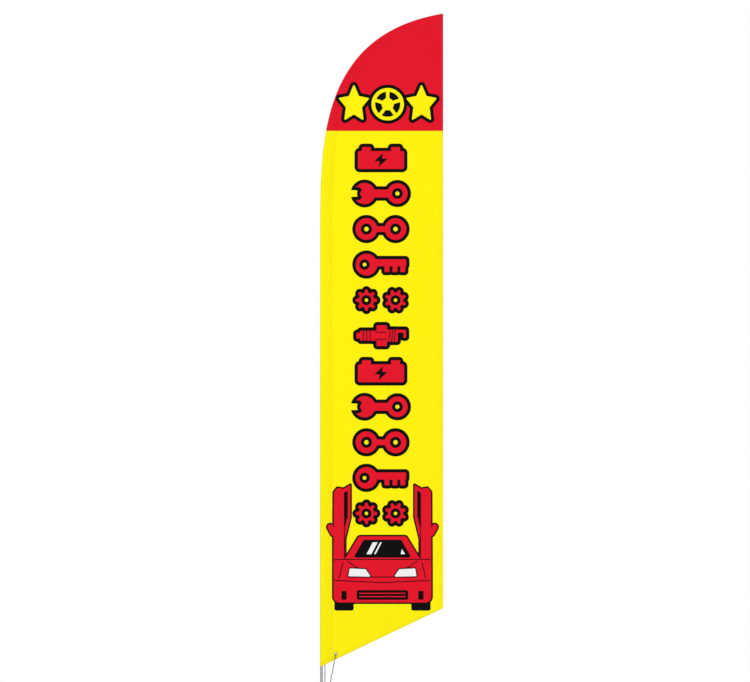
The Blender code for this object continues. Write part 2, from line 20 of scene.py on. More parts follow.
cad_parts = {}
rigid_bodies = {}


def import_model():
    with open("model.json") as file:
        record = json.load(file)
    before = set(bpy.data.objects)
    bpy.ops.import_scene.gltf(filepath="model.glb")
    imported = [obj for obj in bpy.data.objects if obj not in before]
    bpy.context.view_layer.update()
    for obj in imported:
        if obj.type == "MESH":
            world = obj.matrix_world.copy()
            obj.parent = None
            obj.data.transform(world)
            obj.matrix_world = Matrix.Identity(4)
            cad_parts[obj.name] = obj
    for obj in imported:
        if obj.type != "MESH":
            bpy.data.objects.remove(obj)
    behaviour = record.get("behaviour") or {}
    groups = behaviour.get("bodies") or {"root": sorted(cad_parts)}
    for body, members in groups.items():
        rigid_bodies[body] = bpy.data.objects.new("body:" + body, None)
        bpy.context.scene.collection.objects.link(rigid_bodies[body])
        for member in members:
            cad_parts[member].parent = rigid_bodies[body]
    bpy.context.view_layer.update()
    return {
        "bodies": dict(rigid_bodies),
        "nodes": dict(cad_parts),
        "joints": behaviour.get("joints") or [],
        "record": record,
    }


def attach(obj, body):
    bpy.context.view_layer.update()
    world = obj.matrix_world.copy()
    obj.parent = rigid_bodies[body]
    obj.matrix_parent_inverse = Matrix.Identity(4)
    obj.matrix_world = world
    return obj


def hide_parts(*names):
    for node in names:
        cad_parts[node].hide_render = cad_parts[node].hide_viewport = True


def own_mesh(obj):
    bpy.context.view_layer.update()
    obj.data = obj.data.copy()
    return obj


log = logging.getLogger("feather_flag")

Array = np.ndarray
Field = Callable[[Array, Array], Array]
Socket = bpy.types.NodeSocket
Mesh = bpy.types.Mesh
Pair = tuple[float, float]
Triple = tuple[float, float, float]


class Body(Enum):
    """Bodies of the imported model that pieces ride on."""

    SPIKE = "ground_spike"
    ROTATOR = "rotator"
    BOTTOM = "pole_bottom"
    SECOND = "pole_second"
    TOP = "pole_top"
    COLLAR = "tie_collar"
    SCREW = "collar_screw"


class Ink(Enum):
    """Inks of the flag's print, in the order of the cloth's material slots."""

    YELLOW = 0
    RED = 1
    BLACK = 2
    WHITE = 3


# Small array tools


def around(count: int) -> Array:
    """Evenly spaced angles of one whole turn."""
    return 2 * math.pi * np.arange(count) / count


def unit(vectors: Array) -> Array:
    """The same directions at length 1."""
    return vectors / np.linalg.norm(vectors, axis=-1, keepdims=True)


def lengths(line: Array) -> Array:
    """Length of a line of points up to each of them."""
    return np.concatenate([[0.0], np.cumsum(np.linalg.norm(np.diff(line, axis=0), axis=1))])


def fan(angles: Array, first: Array, second: Array) -> Array:
    """Spokes turned by each angle from a first direction towards a second."""
    return first[..., None, :] * np.cos(angles)[:, None] + second[..., None, :] * np.sin(angles)[:, None]


def plumb(x: float, heights: Array) -> Array:
    """Points (x, z) one over another."""
    return np.stack([np.full_like(heights, x), heights], -1)


# Shader tools


class Graph:
    """Short way of adding and joining nodes in one node tree."""

    def __init__(self, tree: bpy.types.NodeTree) -> None:
        """Keeps the tree that nodes are added to."""
        self.tree = tree

    def put(self, value: object, socket: Socket) -> None:
        """Joins a socket to an input, or sets the input to a constant."""
        if isinstance(value, bpy.types.NodeSocket):
            self.tree.links.new(value, socket)
        else:
            socket.default_value = value

    def add(self, kind: str, values: dict | None = None, **settings: object) -> bpy.types.Node:
        """Adds a node.

        Args:
            kind: Blender's name for the node type, without "ShaderNode".
            values: Input values or sockets to join, by input name or index.
            **settings: Properties of the node.

        Returns:
            The new node.
        """
        node = self.tree.nodes.new(f"ShaderNode{kind}")
        for name, value in settings.items():
            setattr(node, name, value)
        for name, value in (values or {}).items():
            self.put(value, node.inputs[name])
        return node

    def math(self, operation: str, *terms: float | Socket) -> Socket:
        """Adds a Math node and gives its result."""
        return self.add("Math", dict(enumerate(terms)), operation=operation).outputs[0]

    def mix(self, share: float | Socket, first: object, second: object) -> Socket:
        """Mixes two colours and gives the result."""
        return self.add("Mix", {0: share, 6: first, 7: second}, data_type="RGBA").outputs[2]

    def place(self) -> Socket:
        """Coordinates in the piece's own frame."""
        return self.add("TexCoord").outputs["Object"]

    def axes(self) -> Sequence[Socket]:
        """The same coordinates as three values."""
        return self.add("SeparateXYZ", {"Vector": self.place()}).outputs

    def noise(self, vector: Socket, scale: float | Socket, detail: float = 3.0) -> Socket:
        """Adds a noise texture and gives its value."""
        return self.add("TexNoise", {"Vector": vector, "Scale": scale, "Detail": detail}).outputs["Fac"]

    def span(
        self, value: Socket, low: float, high: float, out_low: float = 0.0, out_high: float = 1.0
    ) -> Socket:
        """Maps one range of values onto another, clamped, and gives the result."""
        values = {"Value": value, 1: low, 2: high, 3: out_low, 4: out_high}
        return self.add("MapRange", values).outputs["Result"]

    def dress(
        self, shader: bpy.types.Node, colour: object, rough: Socket, relief: tuple[Socket, float, float]
    ) -> None:
        """Feeds a Principled shader.

        Args:
            shader: The shader.
            colour: Its base colour.
            rough: Its roughness.
            relief: Height, strength and depth in metres of its bumps.
        """
        bump = self.add("Bump", dict(zip(("Height", "Strength", "Distance"), relief)))
        for name, value in (("Base Color", colour), ("Roughness", rough), ("Normal", bump.outputs[0])):
            self.put(value, shader.inputs[name])


def shader_group(
    name: str, inputs: dict[str, float], outputs: Sequence[str]
) -> tuple[bpy.types.NodeTree, Graph]:
    """Starts a shader node group whose sockets are all values.

    Args:
        name: The group's name.
        inputs: Default of each input, by name.
        outputs: Names of the outputs.

    Returns:
        The group and a graph for filling it, whose tree has the nodes "in" and "out".
    """
    tree = bpy.data.node_groups.new(name, "ShaderNodeTree")
    for label, default in inputs.items():
        entry = tree.interface.new_socket(name=label, in_out="INPUT", socket_type="NodeSocketFloat")
        entry.default_value = default
    for label in outputs:
        tree.interface.new_socket(name=label, in_out="OUTPUT", socket_type="NodeSocketFloat")
    for kind, label in (("NodeGroupInput", "in"), ("NodeGroupOutput", "out")):
        tree.nodes.new(kind).name = label
    return tree, Graph(tree)


def knit_group() -> bpy.types.NodeTree:
    """Fine warp-knit: rows of loops with small eyelets as height, and as a colour factor of dye mottling with
    painted shade in the eyelets.

    Returns:
        The node group.
    """
    tree, graph = shader_group("knit", {"Pitch": 0.0009, "Unevenness": 0.3}, ("Height", "Shade"))
    into, out = tree.nodes["in"], tree.nodes["out"]
    axes = graph.axes()
    turns = graph.math("DIVIDE", 2 * math.pi, into.outputs["Pitch"])
    wale = graph.math("SINE", graph.math("MULTIPLY", axes["X"], turns))
    course = graph.math("SINE", graph.math("MULTIPLY", axes["Z"], graph.math("MULTIPLY", turns, 0.8)))
    loops = graph.math("MULTIPLY", wale, course)
    cloudy = graph.noise(graph.place(), 9.0, 4.0)
    fibre = graph.noise(graph.place(), 420.0, 2.0)
    rough = graph.math("MULTIPLY", graph.math("SUBTRACT", fibre, 0.5), into.outputs["Unevenness"])
    graph.put(graph.math("ADD", graph.math("MULTIPLY", loops, 0.5), rough), out.inputs["Height"])
    # Painted shade: the colour is darkened to 0.93 in the knit's eyelets, where its height is lowest; the
    # cloudy noise is dye mottling.
    eyelet = graph.span(loops, -1.0, 1.0, 0.93, 1.0)
    shade = graph.math("MULTIPLY", eyelet, graph.span(cloudy, 0.3, 0.7, 0.975, 1.0))
    graph.put(shade, out.inputs["Shade"])
    return tree


def grain_group() -> bpy.types.NodeTree:
    """Fine drawn lines along the piece, for tubes and rods, as a value.

    Returns:
        The node group.
    """
    tree, graph = shader_group("drawn_grain", {"Scale": 900.0, "Stretch": 0.02}, ("Value",))
    into, out = tree.nodes["in"], tree.nodes["out"]
    axes = graph.axes()
    long_way = graph.math("MULTIPLY", axes["Z"], into.outputs["Stretch"])
    drawn = graph.add("CombineXYZ", {"X": axes["X"], "Y": axes["Y"], "Z": long_way})
    graph.put(graph.noise(drawn.outputs[0], into.outputs["Scale"]), out.inputs["Value"])
    return tree


def wear_group() -> bpy.types.NodeTree:
    """Rubbed edges and settled dust, each as a mask.

    Returns:
        The node group.
    """
    tree, graph = shader_group("wear", {"Edge": 0.0015, "Patchiness": 60.0}, ("Rubbed", "Dust"))
    into, out = tree.nodes["in"], tree.nodes["out"]
    plain = graph.add("NewGeometry").outputs["Normal"]
    bevel = graph.add("Bevel", {"Radius": into.outputs["Edge"]}, samples=4)
    apart = graph.add("VectorMath", {0: bevel.outputs[0], 1: plain}, operation="DOT_PRODUCT")
    edge = graph.span(apart.outputs["Value"], 0.90, 0.995, 1.0, 0.0)
    patches = graph.noise(graph.place(), into.outputs["Patchiness"], 4.0)
    graph.put(graph.math("MULTIPLY", edge, graph.span(patches, 0.40, 0.62)), out.inputs["Rubbed"])
    upward = graph.add("SeparateXYZ", {"Vector": plain}).outputs["Z"]
    dust = graph.math("MULTIPLY", graph.span(upward, 0.2, 1.0), graph.span(patches, 0.35, 0.75))
    graph.put(dust, out.inputs["Dust"])
    return tree


class Finishes:
    def __init__(self) -> None:
        """Builds the shared node groups."""
        self.knit = knit_group()
        self.grain = grain_group()
        self.wear = wear_group()
        self.made: dict[str, bpy.types.Material] = {}

    def start(self, name: str) -> tuple[bpy.types.Material, Graph, bpy.types.Node]:
        """Starts a material and gives it, its graph and its Principled shader."""
        made = bpy.data.materials.new(name)
        made.use_nodes = True
        self.made[name] = made
        return made, Graph(made.node_tree), made.node_tree.nodes["Principled BSDF"]

    def get(self, finish: "Finish") -> bpy.types.Material:
        """Gives a finish's material, making it on first use."""
        return self.made.get(finish.name) or finish.build(self)

    def show(
        self, name: str, mesh: Mesh, finish: "Finish | dict[Ink, Finish]", body: Body, *nodes: str,
        place: Matrix | None = None,
    ) -> bpy.types.Object:
        """Adds a finished piece to the scene and hands it to the frame.

        Args:
            name: The piece's name.
            mesh: Its mesh.
            finish: Its finish, or its finish in each ink.
            body: The body that it moves with.
            *nodes: CAD nodes that it stands for.
            place: Where the mesh's own axes go.

        Returns:
            The piece.
        """
        used = list(finish.values()) if isinstance(finish, dict) else [finish]
        piece = link(name, mesh)
        mesh.name = name
        inks = np.empty(len(mesh.polygons), np.int32)
        mesh.polygons.foreach_get("material_index", inks)
        mesh.materials.clear()
        for each in used:
            mesh.materials.append(self.get(each))
        mesh.polygons.foreach_set("material_index", np.minimum(inks, len(used) - 1))
        if place:
            piece.matrix_world = place
        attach(piece, body.value)
        if nodes:
            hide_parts(*nodes)
        log.info("%s rides %s, %d faces", name, body.value, len(mesh.polygons))
        return piece


@dataclass(frozen=True)
class Finish:
    """A named surface finish.

    Attributes:
        name: The material's name.
        slot: The record's material slot; not used.
        colour: Linear base colour.
        roughness: Mean roughness.
    """

    name: str
    slot: str
    colour: Triple
    roughness: float

    def shade(self, share: float = 1.0, lift: float = 0.0) -> tuple[float, ...]:
        """The base colour made lighter or darker, with alpha."""
        return (*(min(1.0, share * c + lift) for c in self.colour), 1.0)

    def build(self, finishes: Finishes) -> bpy.types.Material:
        """Makes the material. Each kind of finish has its own."""
        raise NotImplementedError


@dataclass(frozen=True)
class KnitFinish(Finish):
    """Dye-printed polyester knit, with a soft bloom at grazing angles."""

    sheen: float = 0.05

    def build(self, finishes: Finishes) -> bpy.types.Material:
        """Makes the printed cloth of one ink."""
        made, graph, shader = finishes.start(self.name)
        knit = graph.add("Group", {}, node_tree=finishes.knit).outputs
        # The ink is darkened by the knit's painted eyelet shade and by its dye mottling.
        colour = graph.mix(graph.span(knit["Shade"], 0.90, 1.0), self.shade(0.93), self.shade())
        rough = graph.span(knit["Height"], -0.6, 0.6, self.roughness + 0.06, self.roughness - 0.06)
        graph.dress(shader, colour, rough, (knit["Height"], 0.35, 0.00018))
        shader.inputs["Sheen Weight"].default_value = self.sheen
        shader.inputs["Sheen Roughness"].default_value = 0.5
        shader.inputs["Specular IOR Level"].default_value = 0.10
        return made


@dataclass(frozen=True)
class MetalFinish(Finish):
    """Drawn, turned or dipped metal.

    Attributes:
        grain: Scale of the drawn lines.
        mottle: Scale of the crystal patches of a zinc coat, which has no drawn lines; 0 for none.
        dust: How much dust lies on upward faces, from 0 to 1.
    """

    grain: float = 900.0
    mottle: float = 0.0
    dust: float = 0.3

    def build(self, finishes: Finishes) -> bpy.types.Material:
        """Makes the metal with its grain, patches, rubbed edges and dust."""
        made, graph, shader = finishes.start(self.name)
        wear = graph.add("Group", {"Edge": 0.0012}, node_tree=finishes.wear)
        if self.mottle:
            cells = graph.add("TexVoronoi", {"Vector": graph.place(), "Scale": self.mottle})
            height = graph.add("SeparateXYZ", {"Vector": cells.outputs["Color"]}).outputs["X"]
            base = graph.mix(graph.span(height, 0.0, 1.0), self.shade(0.72), self.shade())
            rough = graph.span(height, 0.0, 1.0, self.roughness - 0.08, self.roughness + 0.1)
        else:
            grain = graph.add("Group", {"Scale": self.grain}, node_tree=finishes.grain)
            height = grain.outputs["Value"]
            base = graph.mix(graph.span(height, 0.35, 0.65), self.shade(0.9), self.shade())
            rough = graph.span(height, 0.3, 0.7, self.roughness - 0.05, self.roughness + 0.07)
        worn = graph.mix(wear.outputs["Rubbed"], base, self.shade(1.25))
        settled = graph.math("MULTIPLY", wear.outputs["Dust"], self.dust)
        graph.dress(shader, graph.mix(settled, worn, (0.42, 0.38, 0.32, 1.0)), rough, (height, 0.12, 0.0001))
        graph.put(graph.math("SUBTRACT", 1.0, settled), shader.inputs["Metallic"])
        return made


@dataclass(frozen=True)
class MouldedFinish(Finish):
    """Moulded plastic, rubber or fibreglass.

    Attributes:
        grain: Scale of the surface texture.
        bump: Strength of the surface texture.
        coat: Weight of the clear coat.
        drawn: Whether the texture runs along the piece, as in pultruded rod.
    """

    grain: float = 900.0
    bump: float = 0.25
    coat: float = 0.0
    drawn: bool = False

    def build(self, finishes: Finishes) -> bpy.types.Material:
        """Makes the plastic with its texture, rubbed edges and dust."""
        made, graph, shader = finishes.start(self.name)
        wear = graph.add("Group", {"Edge": 0.0010}, node_tree=finishes.wear)
        if self.drawn:
            height = graph.add("Group", {"Scale": self.grain}, node_tree=finishes.grain).outputs["Value"]
        else:
            height = graph.noise(graph.place(), self.grain, 2.0)
        pale = self.shade(1.6, 0.02)
        toned = graph.mix(graph.span(height, 0.3, 0.7, 0.0, 0.35), self.shade(), pale)
        worn = graph.mix(graph.math("MULTIPLY", wear.outputs["Rubbed"], 0.6), toned, pale)
        settled = graph.math("MULTIPLY", wear.outputs["Dust"], 0.25)
        rough = graph.span(height, 0.3, 0.7, self.roughness - 0.06, self.roughness + 0.08)
        colour = graph.mix(settled, worn, (0.30, 0.27, 0.23, 1.0))
        graph.dress(shader, colour, rough, (height, self.bump, 0.0001))
        shader.inputs["Coat Weight"].default_value = self.coat
        shader.inputs["Coat Roughness"].default_value = 0.15
        return made


@dataclass(frozen=True)
class WovenFinish(Finish):
    """Webbing, thread or a braided cover, with a yarn at every pitch, in metres."""

    pitch: float = 0.0012

    def build(self, finishes: Finishes) -> bpy.types.Material:
        """Makes the woven surface, its yarns crossing at an angle."""
        made, graph, shader = finishes.start(self.name)
        axes = graph.axes()
        yarns = []
        for way in ("ADD", "SUBTRACT"):
            lean = graph.math(way, axes["X"], axes["Z"])
            yarns.append(graph.math("SINE", graph.math("MULTIPLY", lean, 2 * math.pi / self.pitch)))
        height = graph.math("MAXIMUM", *yarns)
        # Painted shade: the colour darkens to 0.55 of the yarn colour in the low gaps between the yarns.
        colour = graph.mix(graph.span(height, -0.2, 1.0), self.shade(0.55), self.shade())
        rough = graph.span(height, -0.2, 1.0, self.roughness + 0.08, self.roughness - 0.05)
        graph.dress(shader, colour, rough, (height, 0.5, 0.0002))
        shader.inputs["Sheen Weight"].default_value = 0.2
        return made


INKS = {
    Ink.YELLOW: KnitFinish("knit_yellow", "flag_cloth", (0.96, 0.845, 0.0010), 0.82),
    Ink.RED: KnitFinish("knit_red", "flag_cloth", (0.745, 0.0050, 0.0205), 0.82),
    Ink.BLACK: KnitFinish("knit_black", "flag_cloth", (0.0015, 0.0015, 0.0018), 0.85, sheen=0.02),
    Ink.WHITE: KnitFinish("knit_white", "flag_cloth", (0.86, 0.86, 0.85), 0.82),
}
THREADS = {
    Ink.YELLOW: WovenFinish("thread_yellow", "flag_cloth", (0.92, 0.80, 0.003), 0.55, pitch=0.0007),
    Ink.RED: WovenFinish("thread_red", "flag_cloth", (0.58, 0.010, 0.022), 0.55, pitch=0.0007),
    Ink.BLACK: WovenFinish("thread_black", "flag_cloth", (0.012, 0.012, 0.013), 0.55, pitch=0.0007),
    Ink.WHITE: WovenFinish("thread_white", "flag_cloth", (0.80, 0.80, 0.78), 0.55, pitch=0.0007),
}
WEBBING = WovenFinish("black_webbing", "webbing", (0.022, 0.022, 0.025), 0.85)
BRAID = WovenFinish("elastic_braid", "elastic", (0.020, 0.020, 0.021), 0.78, pitch=0.0010)
ZINC = MetalFinish("dipped_zinc", "galvanised_steel", (0.52, 0.54, 0.56), 0.42, mottle=170.0, dust=0.35)
STEEL = MetalFinish("turned_steel", "bright_steel", (0.60, 0.60, 0.61), 0.26, grain=1400.0, dust=0.1)
ALUMINIUM = MetalFinish("anodised_tube", "aluminium_tube", (0.68, 0.69, 0.71), 0.33, grain=700.0, dust=0.1)
BRASS = MetalFinish("rolled_brass", "brass", (0.71, 0.50, 0.20), 0.27, grain=1100.0, dust=0.05)
FIBREGLASS = MouldedFinish("wound_fibreglass", "fibreglass", (0.016, 0.016, 0.018), 0.32, coat=0.5, drawn=True)
NYLON = MouldedFinish("natural_nylon", "nylon", (0.74, 0.72, 0.66), 0.42, grain=500.0, bump=0.1)
PLASTIC = MouldedFinish("moulded_black", "black_plastic", (0.020, 0.020, 0.022), 0.46, grain=1500.0, bump=0.3)
RUBBER = MouldedFinish("black_rubber", "rubber", (0.014, 0.014, 0.014), 0.72, grain=700.0, bump=0.35)


# The print: flat shapes as signed distances in metres, negative inside


def disc(x: Array, y: Array, cx: float, cy: float, radius: float) -> Array:
    """Distance to a disc."""
    return np.hypot(x - cx, y - cy) - radius


def bar(x: Array, y: Array, start: Pair, end: Pair, radius: float) -> Array:
    """Distance to a straight bar with round ends."""
    ax, ay = start
    dx, dy = end[0] - ax, end[1] - ay
    share = np.clip(((x - ax) * dx + (y - ay) * dy) / (dx * dx + dy * dy), 0.0, 1.0)
    return np.hypot(x - ax - share * dx, y - ay - share * dy) - radius


def block(x: Array, y: Array, cx: float, cy: float, half_x: float, half_y: float, corner: float = 0.0) -> Array:
    """Distance to an upright rectangle with round corners."""
    qx = np.abs(x - cx) - half_x + corner
    qy = np.abs(y - cy) - half_y + corner
    return np.hypot(np.maximum(qx, 0), np.maximum(qy, 0)) + np.minimum(np.maximum(qx, qy), 0) - corner


def polygon(x: Array, y: Array, corners: Sequence[Pair]) -> Array:
    """Distance to a closed polygon."""
    nearest = np.full(x.shape, np.inf)
    inside = np.zeros(x.shape, bool)
    for (ax, ay), (bx, by) in zip(corners, [*corners[1:], corners[0]]):
        nearest = np.minimum(nearest, bar(x, y, (ax, ay), (bx, by), 0.0))
        spans = (ay > y) != (by > y)
        if ay != by:
            inside ^= spans & (x < (bx - ax) * (y - ay) / (by - ay) + ax)
    return np.where(inside, -nearest, nearest)


def joined(*parts: Array) -> Array:
    """Union of shapes."""
    return np.minimum.reduce(parts)


def cut(whole: Array, *holes: Array) -> Array:
    """A shape less others."""
    return np.maximum.reduce([whole, *(-hole for hole in holes)])


def star(x: Array, y: Array) -> Array:
    """Fat five-pointed star."""
    corners = []
    for i in range(10):
        reach = 0.080 if i % 2 == 0 else 0.041
        angle = math.radians(90 + 36 * i)
        corners.append((reach * math.cos(angle), 1.22 * reach * math.sin(angle)))
    return polygon(x, y, corners) - 0.004


def road_wheel(x: Array, y: Array) -> Array:
    """Wheel with five openings between its spokes."""
    tips = [(0.08 * math.cos(a), 0.08 * math.sin(a)) for a in np.radians(90 + 72 * np.arange(5))]
    spokes = [bar(x, y, (0.0, 0.0), tip, 0.009) for tip in tips]
    openings = cut(np.abs(np.hypot(x, y) - 0.050) - 0.0175, *spokes)
    return cut(disc(x, y, 0, 0, 0.087), openings)


def spanner(x: Array, y: Array) -> Array:
    """Spanner with an open jaw at one end and a ring at the other."""
    shank = bar(x, y, (-0.09, 0.0), (0.09, 0.0), 0.021)
    opening = [(-0.250, 0.040), (-0.112, 0.034), (-0.086, 0.0), (-0.112, -0.034), (-0.250, -0.040)]
    jaw = cut(disc(x, y, -0.088, 0, 0.057), polygon(x, y, opening))
    ring = disc(x, y, 0.088, 0, 0.055)
    return cut(joined(shank, jaw, ring), disc(x, y, 0.088, 0, 0.029))


def battery(x: Array, y: Array) -> Array:
    """Car battery with two posts and a zigzag opening in its side."""
    case = block(x, y, 0, -0.011, 0.124, 0.048, 0.010)
    posts = block(np.abs(x), y, 0.078, 0.043, 0.024, 0.016, 0.004)
    flash = [(0.012, 0.027), (-0.036, -0.017), (-0.006, -0.017)]
    flash += [(-0.014, -0.049), (0.036, -0.004), (0.006, -0.004)]
    return cut(joined(case, posts), polygon(x, y, flash))


def wheel_pair(x: Array, y: Array) -> Array:
    """Two wheels on an axle."""
    solid = joined(disc(np.abs(x), y, 0.078, 0, 0.058), bar(x, y, (-0.078, 0.0), (0.078, 0.0), 0.015))
    return cut(solid, disc(np.abs(x), y, 0.078, 0, 0.030))


def key(x: Array, y: Array) -> Array:
    """Key with a round bow and a toothed blade."""
    bow = cut(disc(x, y, -0.078, 0, 0.058), disc(x, y, -0.088, 0, 0.028))
    blade = block(x, y, 0.045, 0.010, 0.090, 0.019, 0.005)
    teeth = [block(x, y, place, -0.014, 0.013, 0.026, 0.004) for place in (0.032, 0.075, 0.117)]
    return joined(bow, blade, *teeth)


def gear_pair(x: Array, y: Array) -> Array:
    """Two gears side by side, their teeth out of step."""
    parts = []
    for centre, turn in ((-0.078, 0.0), (0.078, math.pi / 8)):
        teeth = []
        for i in range(8):
            angle = turn + i * math.pi / 4
            tip = (centre + 0.049 * math.cos(angle), 0.049 * math.sin(angle))
            teeth.append(bar(x, y, (centre, 0.0), tip, 0.0085))
        parts.append(cut(joined(disc(x, y, centre, 0, 0.041), *teeth), disc(x, y, centre, 0, 0.027)))
    return joined(*parts)


def spark_plug(x: Array, y: Array) -> Array:
    """Spark plug lying on its side, its ribs, flats and thread drawn as thin lines."""
    boxes = (
        (-0.118, 0.0, 0.014, 0.015), (-0.066, 0.0, 0.046, 0.027), (0.004, 0.0, 0.028, 0.056),
        (0.056, 0.0, 0.034, 0.033), (0.110, 0.024, 0.024, 0.008), (0.127, 0.010, 0.007, 0.021),
    )
    lines = [((place, -0.05), (place, 0.05)) for place in (-0.094, -0.076, -0.058)]
    lines += [((place - 0.006, -0.05), (place + 0.006, 0.05)) for place in (0.046, 0.060, 0.074)]
    lines += [((-0.03, level), (0.032, level)) for level in (-0.019, 0.019)]
    solid = joined(*(block(x, y, *box, 0.004) for box in boxes))
    return cut(solid, *(bar(x, y, start, end, 0.0024) for start, end in lines))


@dataclass(frozen=True)
class Layer:
    """One ink laid over those before it.

    Attributes:
        ink: The ink.
        shape: Signed distance in the layer's own metres, from its centre.
        centre: Place of the centre: across from the leading edge, and up from the low corner.
        reach: Half the width and half the height of the box that holds the shape.
    """

    ink: Ink
    shape: Field
    centre: Pair
    reach: Pair

    def distance(self, across: Array, up: Array) -> Array:
        """Signed distance at points of the print."""
        return self.shape(across - self.centre[0], up - self.centre[1])

    def covers(self, across: Array, up: Array) -> Array:
        """Whether each point of the print lies in the shape."""
        near = np.abs(across - self.centre[0]) <= self.reach[0]
        near = near & (np.abs(up - self.centre[1]) <= self.reach[1])
        found = np.zeros(across.shape, bool)
        found[near] = self.distance(across[near], up[near]) < 0
        return found

    def contour(self, step: float) -> tuple[list[Pair], list[tuple[int, int]]]:
        """Traces the shape's edge on a square grid.

        Args:
            step: The grid's spacing.

        Returns:
            Points on the edge, and the pairs of them that it joins.
        """
        count_x, count_y = (int(math.ceil(2 * r / step)) + 1 for r in self.reach)
        across = self.centre[0] - self.reach[0] + step * np.arange(count_x)
        up = self.centre[1] - self.reach[1] + step * np.arange(count_y)
        values = self.distance(*np.meshgrid(across, up))
        inside = values < 0
        points: list[Pair] = []
        known: dict[tuple[int, int, int], int] = {}

        def crossing(row: int, column: int, upright: int) -> int:
            """Index of the point where the edge crosses one side of a cell."""
            name = (row, column, upright)
            if name not in known:
                first = values[row, column]
                other = values[row + 1, column] if upright else values[row, column + 1]
                share = min(max(first / (first - other), 0.06), 0.94)
                place_x = across[column] + (0 if upright else share * step)
                place_y = up[row] + (share * step if upright else 0)
                known[name] = len(points)
                points.append((float(place_x), float(place_y)))
            return known[name]

        corners = inside[:-1, :-1].astype(int) + inside[:-1, 1:] + inside[1:, :-1] + inside[1:, 1:]
        joins: list[tuple[int, int]] = []
        for row, column in np.argwhere((corners > 0) & (corners < 4)):
            sides = [(row, column, 0), (row, column + 1, 1), (row + 1, column, 0), (row, column, 1)]
            met = []
            for r, c, upright in sides:
                far = inside[r + 1, c] if upright else inside[r, c + 1]
                if inside[r, c] != far:
                    met.append(crossing(int(r), int(c), upright))
            joins.append((met[0], met[1]))
            if len(met) == 4:
                joins.append((met[2], met[3]))
        return points, joins


